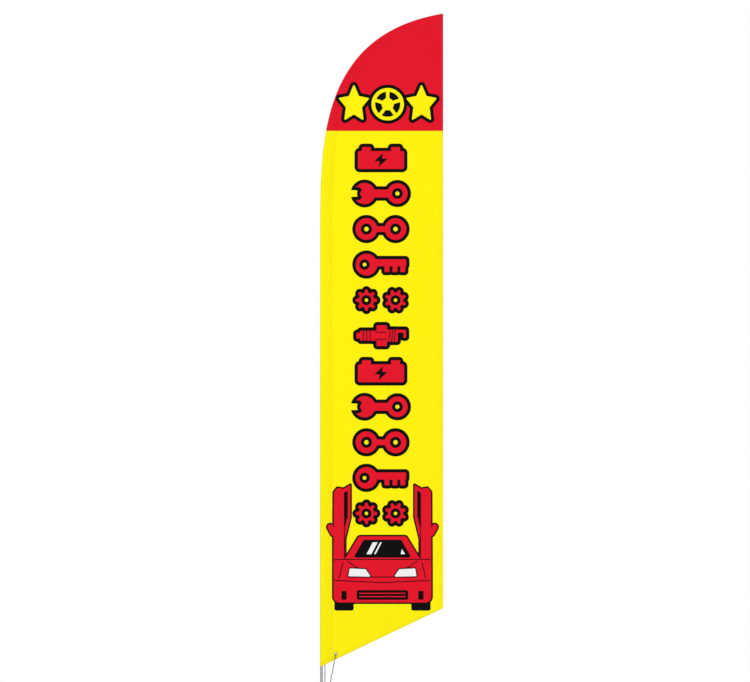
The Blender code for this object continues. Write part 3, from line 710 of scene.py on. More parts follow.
@dataclass
class Artwork:
    """The flag's print: a red head over a yellow field, three marks, a column of marks and a car.

    Attributes:
        head_line: Height where the red head meets the yellow field.
        head_marks: Place of the head's row, and the step between two marks.
        column_top: Place of the column's highest mark.
        column_step: Distance between two marks of the column.
        car_centre: Place of the car.
        outline: Width of the black lines round the marks.
        car_outline: Width of the black line round the car.
        step: Spacing at which edges are traced.
    """

    head_line: float = 2.873
    head_marks: Triple = (0.363, 3.016, 0.181)
    column_top: Pair = (0.327, 2.728)
    column_step: float = 0.1905
    car_centre: Pair = (0.335, 0.512)
    outline: float = 0.018
    car_outline: float = 0.0085
    step: float = 0.0030
    layers: list[Layer] = field(default_factory=list)

    def __post_init__(self) -> None:
        """Lays out the marks and the car."""
        middle, height, apart = self.head_marks
        for i, shape in enumerate((star, road_wheel, star)):
            self.mark(shape, Ink.YELLOW, (middle + (i - 1) * apart, height), (0.10, 0.125))
        designs = (battery, spanner, wheel_pair, key, gear_pair, spark_plug)
        for i in range(11):
            centre = (self.column_top[0], self.column_top[1] - i * self.column_step)
            self.mark(designs[i % len(designs)], Ink.RED, centre, (0.140, 0.066))
        self.car()

    def mark(self, shape: Field, ink: Ink, centre: Pair, reach: Pair) -> None:
        """Adds a mark with its black outline."""
        grown, spare = self.outline, 0.004
        wide = (reach[0] + grown + spare, reach[1] + grown + spare)
        self.layers.append(Layer(Ink.BLACK, lambda x, y: shape(x, y) - grown, centre, wide))
        self.layers.append(Layer(ink, shape, centre, (reach[0] + spare, reach[1] + spare)))

    def car(self) -> None:
        """Adds a plain coupe seen from the front with its doors raised."""

        def tyres(x: Array, y: Array) -> Array:
            return block(np.abs(x), y, 0.206, -0.180, 0.052, 0.030, 0.012)

        def doors(x: Array, y: Array) -> Array:
            side = np.abs(x)
            door = [(0.204, 0.060), (0.258, 0.060), (0.256, 0.424), (0.240, 0.444), (0.206, 0.438)]
            panel = polygon(side, y, door)
            frame = polygon(side, y, [(0.206, 0.150), (0.172, 0.290), (0.172, 0.464), (0.206, 0.444)])
            window = polygon(side, y, [(0.204, 0.222), (0.186, 0.296), (0.186, 0.434), (0.204, 0.424)])
            mirror = bar(side, y, (0.262, 0.205), (0.280, 0.238), 0.015)
            return joined(panel - 0.004, cut(frame, window), mirror)

        def body(x: Array, y: Array) -> Array:
            cabin = polygon(x, y, [(-0.186, 0.060), (-0.118, 0.172), (0.118, 0.172), (0.186, 0.060)]) - 0.016
            return joined(block(x, y, 0, -0.046, 0.262, 0.120, 0.030), cabin)

        def screen(x: Array, y: Array) -> Array:
            return polygon(x, y, [(-0.142, 0.082), (-0.096, 0.162), (0.096, 0.162), (0.142, 0.082)]) - 0.008

        def glints(x: Array, y: Array) -> Array:
            wide = polygon(x, y, [(-0.086, 0.092), (-0.052, 0.156), (-0.026, 0.156), (-0.060, 0.092)])
            thin = polygon(x, y, [(-0.046, 0.092), (-0.012, 0.156), (-0.003, 0.156), (-0.037, 0.092)])
            return joined(wide, thin, polygon(x, y, [(0.098, 0.092), (0.122, 0.092), (0.104, 0.120)]))

        def lamps(x: Array, y: Array) -> Array:
            lamp = [(0.070, -0.024), (0.092, 0.008), (0.172, 0.012), (0.178, -0.022)]
            return polygon(np.abs(x), y, lamp) - 0.004

        def creases(x: Array, y: Array) -> Array:
            side = np.abs(x)
            lines = (
                ((0.0, 0.064), (0.256, 0.064)), ((0.186, 0.054), (0.056, -0.030)),
                ((0.0, -0.030), (0.056, -0.030)), ((0.0, -0.060), (0.256, -0.048)),
                ((0.212, 0.046), (0.232, -0.036)), ((0.204, 0.070), (0.204, 0.420)),
            )
            return joined(*(bar(side, y, start, end, 0.0026) for start, end in lines))

        def mouths(x: Array, y: Array) -> Array:
            corners = block(np.abs(x), y, 0.206, -0.128, 0.014, 0.024, 0.006)
            return joined(block(x, y, 0, -0.126, 0.138, 0.026, 0.010), corners)

        def slats(x: Array, y: Array) -> Array:
            return block(x, np.abs(y + 0.126), 0, 0.009, 0.124, 0.0030, 0.002)

        grown = self.car_outline
        wide, all_over = (0.312, 0.500), (0.300, 0.490)
        steps = (
            (Ink.BLACK, lambda x, y: joined(body(x, y) - grown, doors(x, y) - grown, tyres(x, y)), wide),
            (Ink.RED, lambda x, y: joined(body(x, y), doors(x, y)), all_over),
            (
                Ink.BLACK,
                lambda x, y: joined(screen(x, y), lamps(x, y) - 0.006, creases(x, y), mouths(x, y)),
                all_over,
            ),
            (Ink.WHITE, lambda x, y: joined(glints(x, y), lamps(x, y)), all_over),
            (Ink.RED, slats, all_over),
        )
        for ink, shape, reach in steps:
            self.layers.append(Layer(ink, shape, self.car_centre, reach))

    def inks(self, across: Array, up: Array) -> Array:
        """Ink number at each point of the print."""
        found = np.where(up > self.head_line, Ink.RED.value, Ink.YELLOW.value)
        for layer in self.layers:
            found[layer.covers(across, up)] = layer.ink.value
        return found


# The pole's line and the cloth's shape


@dataclass
class PoleLine:
    """The pole's axis: straight, then a quarter of a squared-off ellipse.

    Attributes:
        length: Length of the pole along its axis.
        foot: Height of its lower end.
        flag_width: Width of the flag, from the leading edge to the fly edge.
        flag_height: Height of the flag, from its low corner to its top.
        hem_rise: How much higher the fly edge ends than the low corner.
        tip_clearance: From the tip to the fly edge.
        reach: Half-width of the ellipse.
        squareness: The ellipse's exponent.
        bend_start: Height above the flag's low corner where the bend starts.
        nose: Radius of the sleeve's front at the hem.
        tip_nose: Radius of the sleeve's front at the tip.
        overlap: Length of each push-fit joint.
    """

    length: float = 4.570
    foot: float = 0.0402
    flag_width: float = 0.660
    flag_height: float = 3.502
    hem_rise: float = 0.315
    tip_clearance: float = 0.034
    reach: float = 1.167
    squareness: float = 3.30
    bend_start: float = 2.294
    nose: float = 0.0152
    tip_nose: float = 0.0102
    overlap: float = 0.100

    def __post_init__(self) -> None:
        """Works out the bend and where the flag starts and ends on the pole."""
        self.fly = self.flag_width - self.nose
        fly_t = (1 - (1 - self.fly / self.reach) ** self.squareness) ** (1 / self.squareness)
        self.rise = (self.flag_height - self.tip_nose - self.bend_start) / fly_t
        self.table_t = np.linspace(0.0, 0.999, 6000)
        self.table_across, up = self.bend(self.table_t)
        self.table_length = lengths(np.stack([self.table_across, up], -1))
        self.straight = self.length - self.bent(self.fly - self.tip_clearance)
        self.base = self.foot + self.straight
        self.low = self.base - self.bend_start
        self.start = self.low - self.foot
        self.end = self.straight + self.bent(self.fly)
        self.section = (self.length + 3 * self.overlap) / 4
        self.starts = [i * (self.section - self.overlap) for i in range(4)]
        self.hem_slope = self.hem_rise / self.flag_width

    def bend(self, t: Array) -> tuple[Array, Array]:
        """Place on the bend from its start, across and up, for t between 0 and 1."""
        return self.reach * (1 - (1 - t**self.squareness) ** (1 / self.squareness)), self.rise * t

    def bent(self, across: float) -> float:
        """Length of the bend up to a distance across."""
        return float(np.interp(across, self.table_across, self.table_length))

    def points(self, s: Array) -> tuple[Array, Array]:
        """Places and directions on the axis.

        Args:
            s: Lengths from the pole's foot.

        Returns:
            Two arrays of (x, z): the places and the unit directions.
        """
        s = np.asarray(s, float)
        beyond = np.maximum(s - self.straight, 0.0)
        t = np.interp(beyond, self.table_length, self.table_t)
        across, up = self.bend(t)
        place = np.stack([across, np.where(s < self.straight, self.foot + s, self.base + up)], -1)
        step = 2e-3
        before, after = self.bend(np.maximum(t - step, 0.0)), self.bend(np.minimum(t + step, 1.0))
        along = np.stack([after[0] - before[0], after[1] - before[1]], -1)
        along[s < self.straight] = (0.0, 1.0)
        return place, unit(along)

    def offset(self, s: Array, inwards: Array | float) -> Array:
        """Points (x, z) at a distance from the axis towards the panel."""
        place, along = self.points(s)
        across = np.stack([along[..., 1], -along[..., 0]], -1)
        return place + across * np.asarray(inwards)[..., None]

    def nose_radius(self, s: Array) -> Array:
        """Outer radius of the sleeve's front along the pole."""
        stops = [*(start + self.overlap for start in self.starts[1:]), self.length + 0.02]
        return np.interp(s, stops, [self.nose, 0.0146, 0.0142, self.tip_nose])

    def measure(self, points: Array) -> tuple[Array, Array]:
        """Length along the pole and distance towards the panel of points (x, z)."""
        line_s = np.linspace(self.start - 0.05, self.end + 0.12, 2400)
        line, _ = self.points(line_s)
        near_s, batch = np.empty(len(points)), 2000
        for first in range(0, len(points), batch):
            part = points[first : first + batch]
            gaps = (part[:, None, 0] - line[None, :, 0]) ** 2 + (part[:, None, 1] - line[None, :, 1]) ** 2
            near_s[first : first + batch] = line_s[np.argmin(gaps, axis=1)]
        for _ in range(2):
            place, along = self.points(near_s)
            near_s = near_s + np.sum((points - place) * along, axis=1)
        place, along = self.points(near_s)
        gap = points - place
        return near_s, gap[:, 0] * along[:, 1] - gap[:, 1] * along[:, 0]

    def hem(self, x: Array) -> Array:
        """Height of the bottom hem at x."""
        return self.low + self.hem_slope * (x + self.nose)


@dataclass
class ClothShape:
    """Where the flag's cloth lies in space, as a depth y for each place (x, z).

    Attributes:
        line: The pole's line.
        seam: Distance of the sleeve's seam from the pole's axis.
        swells: (depth, wavelength, lean, phase) of each ripple.
        closing: Width over which the sleeve closes at the fly edge.
        seam_stack: How far behind the panel's face the sleeve's back is sewn.
    """

    line: PoleLine
    seam: float = 0.050
    swells: tuple[tuple[float, float, float, float], ...] = (
        (0.0085, 1.55, 1.3, 0.4),
        (0.0042, 0.71, -2.2, 2.0),
        (0.0016, 0.33, 3.1, 0.9),
    )
    closing: float = 0.016
    seam_stack: float = 0.0014

    def ripple(self, x: Array, z: Array) -> Array:
        """Depth of the panel, which ripples more away from the pole."""
        line = self.line
        share = np.clip((x - self.seam) / (line.fly - self.seam), 0.0, 1.0)
        top_s = np.linspace(line.straight, line.end, 300)
        top = line.offset(top_s, self.seam)
        below = np.maximum(np.interp(x, top[:, 0], top[:, 1]) - z, 0.0)
        room = share**1.25 * (1 - np.exp(-((below / 0.42) ** 1.5)))
        total = np.zeros_like(x)
        for depth, wave, lean, phase in self.swells:
            total += depth * np.sin(2 * math.pi * z / wave + lean * x / line.fly + phase)
        pull = 0.0022 * np.sin(26.0 * (x - 0.35 * (z - line.low)) + 0.5)
        near_corner = np.exp(-(((x - 0.12) / 0.16) ** 2) - (((z - line.low - 0.20) / 0.22) ** 2))
        return room * total + pull * near_corner * np.clip(share * 6, 0, 1)

    def sleeve(self, s: Array, inwards: Array, x: Array) -> Array:
        """Half the sleeve's thickness at a distance from the axis."""
        radius = self.line.nose_radius(s)
        touch = radius**2 / self.seam
        round_part = np.sqrt(np.maximum(radius**2 - np.minimum(inwards, touch) ** 2, 0.0))
        slope = np.sqrt(np.maximum(radius**2 - touch**2, 0.0)) / (self.seam - touch)
        flat_part = slope * np.maximum(self.seam - inwards, 0.0)
        half = np.where(inwards > touch, flat_part, round_part)
        shut = np.clip((x - (self.line.fly - self.closing)) / self.closing, 0.0, 1.0)
        return half * np.sqrt(1 - shut**2)

    def depth(self, points: Array, back: bool = False) -> Array:
        """Depth y of the cloth's outer face at points (x, z), on the front or on the sleeve's back."""
        s, inwards = self.line.measure(points)
        half = self.sleeve(s, inwards, points[:, 0])
        radius = self.line.nose_radius(s)
        behind = self.seam_stack * np.clip((inwards + radius) / (2 * radius), 0.0, 1.0)
        bulge = half + behind if back else -half
        return np.where(inwards < self.seam, bulge, 0.0) + self.ripple(points[:, 0], points[:, 1])

    def place(self, points: Array, back: bool = False) -> Array:
        """Points in space on the cloth's outer face, on the front or on the sleeve's back."""
        return np.stack([points[:, 0], self.depth(points, back), points[:, 1]], -1)


# Mesh tools


def link(name: str, mesh: Mesh) -> bpy.types.Object:
    """Adds a mesh to the scene as an object."""
    obj = bpy.data.objects.new(name, mesh)
    bpy.context.scene.collection.objects.link(obj)
    return obj


def baked(shape: bmesh.types.BMesh) -> Mesh:
    """Writes a bmesh into a mesh of its own."""
    mesh = bpy.data.meshes.new("mesh")
    shape.to_mesh(mesh)
    shape.free()
    return mesh


def paint(mesh: Mesh, inks: Array) -> None:
    """Gives each face its material by number."""
    mesh.polygons.foreach_set("material_index", inks.astype(np.int32))


def drop_loose(shape: bmesh.types.BMesh) -> None:
    """Deletes points that no face uses."""
    bmesh.ops.delete(shape, geom=[v for v in shape.verts if not v.link_faces], context="VERTS")


def triangulated(points: list[Pair], edges: list[tuple[int, int]]) -> tuple[Array, Array]:
    """Places and triangles of a flat mesh through points, in which the given edges stay whole."""
    verts, _, faces, *_ = delaunay_2d_cdt([Vector(p) for p in points], edges, [], 0, 1e-7, False)
    return np.array([tuple(v) for v in verts]), np.array([f for f in faces if len(f) == 3])


def from_arrays(points: Array, faces: Sequence[Sequence[int]]) -> Mesh:
    """Makes a smooth mesh from points and faces."""
    mesh = bpy.data.meshes.new("mesh")
    mesh.from_pydata([tuple(map(float, p)) for p in points], [], [list(map(int, f)) for f in faces])
    mesh.polygons.foreach_set("use_smooth", [True] * len(mesh.polygons))
    mesh.update()
    return mesh


def merged(parts: Sequence[Mesh]) -> Mesh:
    """Puts several meshes into one."""
    shape = bmesh.new()
    for part in parts:
        shape.from_mesh(part)
    return baked(shape)


def modified(mesh: Mesh, *steps: tuple[str, dict[str, object]]) -> Mesh:
    """Gives the mesh that a row of modifiers makes of another.

    Args:
        mesh: The mesh to start from.
        *steps: Kind and settings of each modifier.

    Returns:
        The new mesh.
    """
    obj = link("modified", mesh)
    for kind, settings in steps:
        modifier = obj.modifiers.new(kind.title(), kind)
        for key, value in settings.items():
            setattr(modifier, key, value)
    graph = bpy.context.evaluated_depsgraph_get()
    made = bpy.data.meshes.new_from_object(obj.evaluated_get(graph))
    bpy.data.objects.remove(obj)
    return made


def softened(mesh: Mesh, width: float, segments: int) -> Mesh:
    """Breaks the sharp edges of a CAD mesh."""
    bevel = {"width": width, "segments": segments, "limit_method": "ANGLE", "angle_limit": math.radians(40)}
    flat = {"decimate_type": "DISSOLVE", "angle_limit": math.radians(1.0)}
    made = modified(mesh.copy(), ("DECIMATE", flat), ("BEVEL", bevel))
    made.set_sharp_from_angle(angle=math.radians(30))
    return made


def lathe(profile: Sequence[Pair], sides: int = 64) -> Mesh:
    """Turns a profile about Z.

    Args:
        profile: (radius, height) points down the outer side; a ring's profile closes on itself.
        sides: Number of sides.

    Returns:
        The mesh, smooth except at sharp corners of the profile.
    """
    ring = all(radius > 1e-9 for radius, _ in profile)
    shape = bmesh.new()
    columns = []
    for radius, height in profile:
        if radius <= 1e-9:
            columns.append([shape.verts.new((0.0, 0.0, height))] * sides)
            continue
        angles = (2 * math.pi * i / sides for i in range(sides))
        columns.append([shape.verts.new((radius * math.cos(a), radius * math.sin(a), height)) for a in angles])
    pairs = list(zip(columns, columns[1:]))
    if ring:
        pairs.append((columns[-1], columns[0]))
    for upper, lower in pairs:
        for i in range(sides):
            j = (i + 1) % sides
            corners = list(dict.fromkeys((upper[i], lower[i], lower[j], upper[j])))
            if len(corners) > 2:
                shape.faces.new(corners)
    bmesh.ops.recalc_face_normals(shape, faces=shape.faces)
    mesh = baked(shape)
    mesh.polygons.foreach_set("use_smooth", [True] * len(mesh.polygons))
    mesh.set_sharp_from_angle(angle=math.radians(38))
    return mesh


def rounded(inner: float, outer: float, bottom: float, top: float, fillet: float, steps: int = 3) -> list:
    """Profile of a ring whose outer corners are round.

    Args:
        inner: Bore radius.
        outer: Outer radius.
        bottom: Lower face.
        top: Upper face.
        fillet: Radius of the outer corners.
        steps: Facets of each corner.

    Returns:
        (radius, height) points for lathe().
    """
    turns = [math.pi / 2 * i / steps for i in range(steps + 1)]
    upper = [(outer - fillet + fillet * math.sin(a), top - fillet + fillet * math.cos(a)) for a in turns]
    lower = [(outer - fillet + fillet * math.cos(a), bottom + fillet - fillet * math.sin(a)) for a in turns]
    return [(inner, top), *upper, *lower, (inner, bottom)]


def dome(radius: float, base: float, height: float) -> list[Pair]:
    """Profile of a dome, from its top outwards, as (radius, height) points for lathe()."""
    turns = [math.radians(15 * i) for i in range(7)]
    return [(radius * math.sin(a), base + height * math.cos(a)) for a in turns]


def sweep(rings: Array, loop: bool = False) -> Mesh:
    """Skins a row of rings of points.

    Args:
        rings: Points, as (ring, side, xyz).
        loop: Whether the last ring joins the first, rather than both being capped.

    Returns:
        The mesh.
    """
    count, sides = rings.shape[:2]
    faces = []
    for i in range(count if loop else count - 1):
        first, second = i * sides, ((i + 1) % count) * sides
        for j, k in ((j, (j + 1) % sides) for j in range(sides)):
            faces.append((first + j, first + k, second + k, second + j))
    if not loop:
        faces.append(tuple(range(sides))[::-1])
        faces.append(tuple((count - 1) * sides + j for j in range(sides)))
    shape = bmesh.new()
    shape.from_mesh(from_arrays(rings.reshape(-1, 3), faces))
    bmesh.ops.recalc_face_normals(shape, faces=shape.faces)
    mesh = baked(shape)
    mesh.set_sharp_from_angle(angle=math.radians(50))
    return mesh


def tube_rings(path: Array, radii: Array, sides: int) -> Array:
    """Rings of points round a path that never runs along Y.

    Args:
        path: Points of the path.
        radii: Radius at each point.
        sides: Points in each ring.

    Returns:
        Points, as (ring, side, xyz).
    """
    along = unit(np.gradient(path, axis=0))
    reference = np.array([0.0, 1.0, 0.0])
    first = unit(reference - (along @ reference)[:, None] * along)
    return path[:, None] + fan(around(sides), first, np.cross(along, first)) * radii[:, None, None]


def moulded(parts: Sequence[Mesh], voxel: float, smoothing: int) -> Mesh:
    """Melts overlapping closed meshes into one with soft inner corners, as a moulding has.

    Args:
        parts: Closed meshes that overlap.
        voxel: Size of the detail that is kept.
        smoothing: How often the surface is relaxed.

    Returns:
        The mesh.
    """
    melt = {"mode": "VOXEL", "voxel_size": voxel, "use_smooth_shade": True}
    return modified(merged(parts), ("REMESH", melt), ("SMOOTH", {"factor": 0.5, "iterations": smoothing}))


def rod(start: Vector, end: Vector, radius: float, sides: int = 48) -> Mesh:
    """Closed cylinder between two points, for melting into a moulding."""
    shape, depth = bmesh.new(), (end - start).length
    turn = (end - start).to_track_quat("Z", "Y").to_matrix().to_4x4()
    matrix = Matrix.Translation((start + end) / 2) @ turn
    bmesh.ops.create_cone(
        shape, cap_ends=True, segments=sides, radius1=radius, radius2=radius, depth=depth, matrix=matrix
    )
    return baked(shape)


# The flag


@dataclass
class Flag:
    """The printed cloth with its sleeve, hems, stitching, patch and grommet.

    Attributes:
        line: The pole's line.
        thickness: Thickness of the cloth.
        spacing: Distance between the cloth's free points.
        row_step: Distance between the points of a row of stitches.
        hem_width: Width of the folded hems.
        stitch_pitch: Distance between two stitches.
        thread: Radius of the sewing thread.
        edge_rows: Distances of the two rows of stitches from the fly edge and from the bottom edge.
        seam_rows: Distances of the two rows of stitches from the sleeve's seam.
        grommet_x: Place of the grommet, across.
        grommet_up: Height of the grommet over the hem.
        grommet_bore: Radius of the grommet's hole.
        hole_radius: Radius of the hole cut in the cloth and in the patch.
        patch_size: Width and height of the patch.
        patch_margin: From the patch's edge to its row of stitches.
        patch_depth: How far behind the cloth's face the middle of the patch lies.
        patch_thickness: Thickness of the patch.
    """

    line: PoleLine
    thickness: float = 0.0006
    spacing: float = 0.014
    row_step: float = 0.004
    hem_width: float = 0.016
    stitch_pitch: float = 0.0062
    thread: float = 0.00042
    edge_rows: Pair = (0.0090, 0.0135)
    seam_rows: Pair = (0.0012, 0.0052)
    grommet_x: float = 0.070
    grommet_up: float = 0.030
    grommet_bore: float = 0.0050
    hole_radius: float = 0.0060
    patch_size: Pair = (0.075, 0.120)
    patch_margin: float = 0.0045
    patch_depth: float = 0.0024
    patch_thickness: float = 0.0009

    def __post_init__(self) -> None:
        """Works out the cloth's shape, the grommet's place and how far up the fly edge goes."""
        self.shape = ClothShape(self.line)
        self.art = Artwork()
        self.hole = (self.grommet_x, float(self.line.hem(self.grommet_x)) + self.grommet_up)
        self.upright = math.hypot(1, self.line.hem_slope)
        self.edge_line = self.runs(lambda s: -self.line.nose_radius(s))
        self.seam_line = self.runs(self.shape.seam)

    def dyes(self, x: Array, z: Array) -> Array:
        """Ink number at each place (x, z)."""
        return self.art.inks(x + self.line.nose, z - self.line.low)

    def along_hem(self, across: Array, gap: float) -> Array:
        """Points (x, z) at a distance from the bottom edge."""
        return np.stack([across, self.line.hem(across) + gap * self.upright], -1)

    def runs(self, inwards: Callable[[Array], Array] | float, step: float = 0.022) -> Array:
        """Points (x, z) along the pole's line at a distance from it, from the hem to the fly edge."""
        line = self.line
        s = np.arange(line.start - 0.05, line.end + 0.12, step)
        points = line.offset(s, inwards(s) if callable(inwards) else inwards)
        keep = (points[:, 1] > line.hem(points[:, 0]) + 0.3 * step) & (points[:, 0] < line.fly - 0.3 * step)
        points = points[keep]
        first = np.array([points[0, 0], float(line.hem(points[0, 0]))])
        slope = (points[-1] - points[-2]) / (points[-1, 0] - points[-2, 0])
        last = points[-1] + slope * (line.fly - points[-1, 0])
        return np.vstack([first, points, last])

    def sleeve_lines(self) -> list[Array]:
        """Lines along the sleeve that give its round front its shape."""
        radius = self.line.nose_radius
        shares = [math.cos(math.radians(a)) for a in (168, 155, 141, 126, 110, 94, 78)]
        lines = [self.runs(lambda s, share=share: share * radius(s)) for share in shares]
        gaps = sorted(row + side for row in self.seam_rows for side in (-0.0011, 0.0, 0.0011))
        inner = [self.shape.seam - gap for gap in gaps]
        return [self.edge_line, *lines, *(self.runs(gap) for gap in (0.012, 0.024, 0.036, *inner))]

    def edge_lines(self) -> list[Array]:
        """The fly edge and the bottom edge, and the lines beside their rows of stitches."""
        line = self.line
        top = self.edge_line[-1, 1]
        lines = []
        for gap in (0.0, *(row + side for row in self.edge_rows for side in (-0.0013, 0.0, 0.0013))):
            across = np.arange(-line.nose, line.fly + self.spacing / 2, self.spacing).clip(max=line.fly)
            lines.append(self.along_hem(across, gap))
            bottom = float(line.hem(line.fly - gap))
            lines.append(plumb(line.fly - gap, np.linspace(bottom, top, int((top - bottom) / self.spacing))))
        return lines

    def head_edge(self, back: bool) -> Array:
        """The straight line where the head's colour meets the field's."""
        height = self.line.low + self.art.head_line
        runs = (self.edge_line, self.seam_line)
        left, right = (float(np.interp(height, run[:, 1], run[:, 0])) for run in runs)
        return np.array([[left, height], [right if back else self.line.fly, height]])

    def layer_mesh(self, name: str, back: bool) -> tuple[Array, Array, Array]:
        """Triangulates one layer of the cloth along its print and its seams.

        Args:
            name: What the layer is called in the log.
            back: Whether this is the sleeve's back rather than the whole front.

        Returns:
            Points in space, triangles and each triangle's ink.
        """
        line, seam = self.line, self.shape.seam
        points: list[Pair] = []
        edges: list[tuple[int, int]] = []
        runs = [*self.sleeve_lines(), self.seam_line, self.head_edge(back), *self.edge_lines()]
        for run in runs:
            first = len(points)
            points.extend((float(x), float(z)) for x, z in run)
            edges.extend((first + i, first + i + 1) for i in range(len(run) - 1))
        if not back:
            for layer in self.art.layers:
                found, joins = layer.contour(self.art.step)
                first = len(points)
                points.extend((u - line.nose, v + line.low) for u, v in found)
                edges.extend((first + i, first + j) for i, j in joins)
            self.ring_of(points, edges)
        points.extend(self.free_points(np.array(points), back))
        flat, faces = triangulated(points, edges)
        middle = flat[faces].mean(axis=1)
        s, inwards = line.measure(middle)
        keep = (inwards > -line.nose_radius(s)) & (middle[:, 1] > line.hem(middle[:, 0]))
        keep &= middle[:, 0] < line.fly
        keep &= (inwards < seam) if back else self.outside_hole(middle)
        faces, middle = faces[keep], middle[keep]
        log.info("%s: %d points, %d triangles", name, len(flat), len(faces))
        return self.sewn(flat, back), faces, self.dyes(*middle.T)

    def ring_of(self, points: list[Pair], edges: list[tuple[int, int]]) -> None:
        """Adds the hole for the grommet to points and edges that are about to be triangulated."""
        (x, z), r = self.hole, self.hole_radius
        count, first = 28, len(points)
        points.extend((x + r * math.cos(a), z + r * math.sin(a)) for a in around(count))
        edges.extend((first + i, first + (i + 1) % count) for i in range(count))

    def outside_hole(self, places: Array, share: float = 0.993, clear: float = 0.0) -> Array:
        """Whether each place (x, z) lies outside a share of the grommet's hole, and clear of it."""
        away = np.hypot(places[:, 0] - self.hole[0], places[:, 1] - self.hole[1])
        return away > share * self.hole_radius + clear

    def sewn(self, flat: Array, back: bool = False) -> Array:
        """Points in space of places (x, z) on the cloth, drawn in along the rows of stitches."""
        placed = self.shape.place(flat, back=back)
        placed[:, 1] += self.tucks(flat) * (-1 if back else 1)
        return placed

    def tucks(self, flat: Array) -> Array:
        """How far each point is drawn into the cloth by the rows of stitches."""
        line = self.line
        _, inwards = line.measure(flat)
        in_seam = self.shape.seam - inwards
        in_fly = line.fly - flat[:, 0]
        in_hem = (flat[:, 1] - line.hem(flat[:, 0])) / self.upright
        pulls = [(in_seam, row) for row in self.seam_rows]
        pulls += [(gap, row) for gap in (in_fly, in_hem) for row in self.edge_rows]
        depth, width = 0.0004, 0.0008
        return sum(depth * np.exp(-(((gap - row) / width) ** 2)) for gap, row in pulls)

    def free_points(self, fixed: Array, back: bool) -> list[Pair]:
        """Points on a staggered grid that keep clear of the lines already laid."""
        line, step, clear = self.line, self.spacing, 0.004
        xs = np.arange(-line.nose, line.fly, step)
        zs = np.arange(line.low, line.low + line.flag_height, step * 0.87)
        grid_x, grid_z = np.meshgrid(xs, zs)
        grid_x = grid_x + (np.arange(len(zs)) % 2)[:, None] * step / 2
        grid = np.stack([grid_x.ravel(), grid_z.ravel()], -1)
        s, inwards = line.measure(grid)
        inside = (inwards > -line.nose_radius(s) + clear) & (grid[:, 0] < line.fly - clear)
        inside &= grid[:, 1] > line.hem(grid[:, 0]) + clear
        if back:
            inside &= inwards < self.shape.seam - clear
        grid = grid[inside]
        cell = 0.45 * step
        taken = {tuple(c) for c in np.round(fixed / cell).astype(int)}
        return [tuple(map(float, p)) for p in grid if tuple(np.round(p / cell).astype(int)) not in taken]

    def build_cloth(self, finishes: Finishes) -> bpy.types.Object:
        """Makes the front, folds the sleeve's back on at the leading edge, and thickens both."""
        shape = bmesh.new()
        for name, back, way in (("front", False, 1), ("sleeve back", True, -1)):
            points, faces, inks = self.layer_mesh(name, back)
            verts = [shape.verts.new(p) for p in points]
            for corners, ink in zip(faces, inks):
                face = shape.faces.new([verts[i] for i in corners[::way]])
                face.material_index = int(ink)
                face.smooth = True
        drop_loose(shape)
        bmesh.ops.remove_doubles(shape, verts=shape.verts, dist=2e-5)
        solid = {"thickness": self.thickness, "offset": -1.0, "use_rim": True}
        mesh = modified(baked(shape), ("SOLIDIFY", solid))
        return finishes.show("flag_cloth", mesh, INKS, Body.TOP, "flag_panel", "pole_sleeve")

    def rows(self) -> list[tuple[Array, float]]:
        """Rows of stitches, as dense lines of (x, z), each with how much lies behind the cloth there."""
        line, step = self.line, self.row_step
        found = [(self.runs(self.shape.seam - gap, step), 0.0) for gap in self.seam_rows]
        bottom, top = float(line.hem(line.fly)), self.edge_line[-1, 1]
        folded = 2 * self.thickness + 0.0002
        for gap in self.edge_rows:
            found.append((plumb(line.fly - gap, np.arange(bottom + step, top - 0.003, step)), folded))
            across = np.arange(-line.nose + step, line.fly - step, step)
            found.append((self.along_hem(across, gap), folded))
        corners = self.patch_outline(self.patch_margin)
        corners.append(corners[0])
        found.append((np.array(corners), self.patch_depth + self.patch_thickness / 2))
        return found

    def build_stitches(self, finishes: Finishes) -> None:
        """Sews every row on the front and on the back, in thread that matches the cloth under it."""
        shares = np.array([0.0, 0.14, 0.36, 0.58, 0.72]) * self.stitch_pitch
        flats, stacks = [], []
        for run, stack in self.rows():
            length = lengths(run)
            starts = (np.arange(int(length[-1] / self.stitch_pitch)) + 0.2) * self.stitch_pitch
            stops = starts[:, None] + shares[None, :]
            flats.append(np.stack([np.interp(stops, length, run[:, k]) for k in (0, 1)], -1))
            stacks.append(np.full(len(starts), stack))
        flat, stack = np.concatenate(flats), np.concatenate(stacks)
        inks = self.dyes(*flat[:, 2].T)
        for side, back in (("front", False), ("back", True)):
            mesh = self.thread_mesh(self.thread_rings(flat, stack, back))
            finishes.show(f"stitches_{side}", mesh, THREADS, Body.TOP)
            shades = np.where(back & (stack > self.patch_depth), Ink.BLACK.value, inks)
            paint(mesh, np.repeat(shades, len(mesh.polygons) // len(flat)))
        log.info("%d stitches on each side", len(flat))

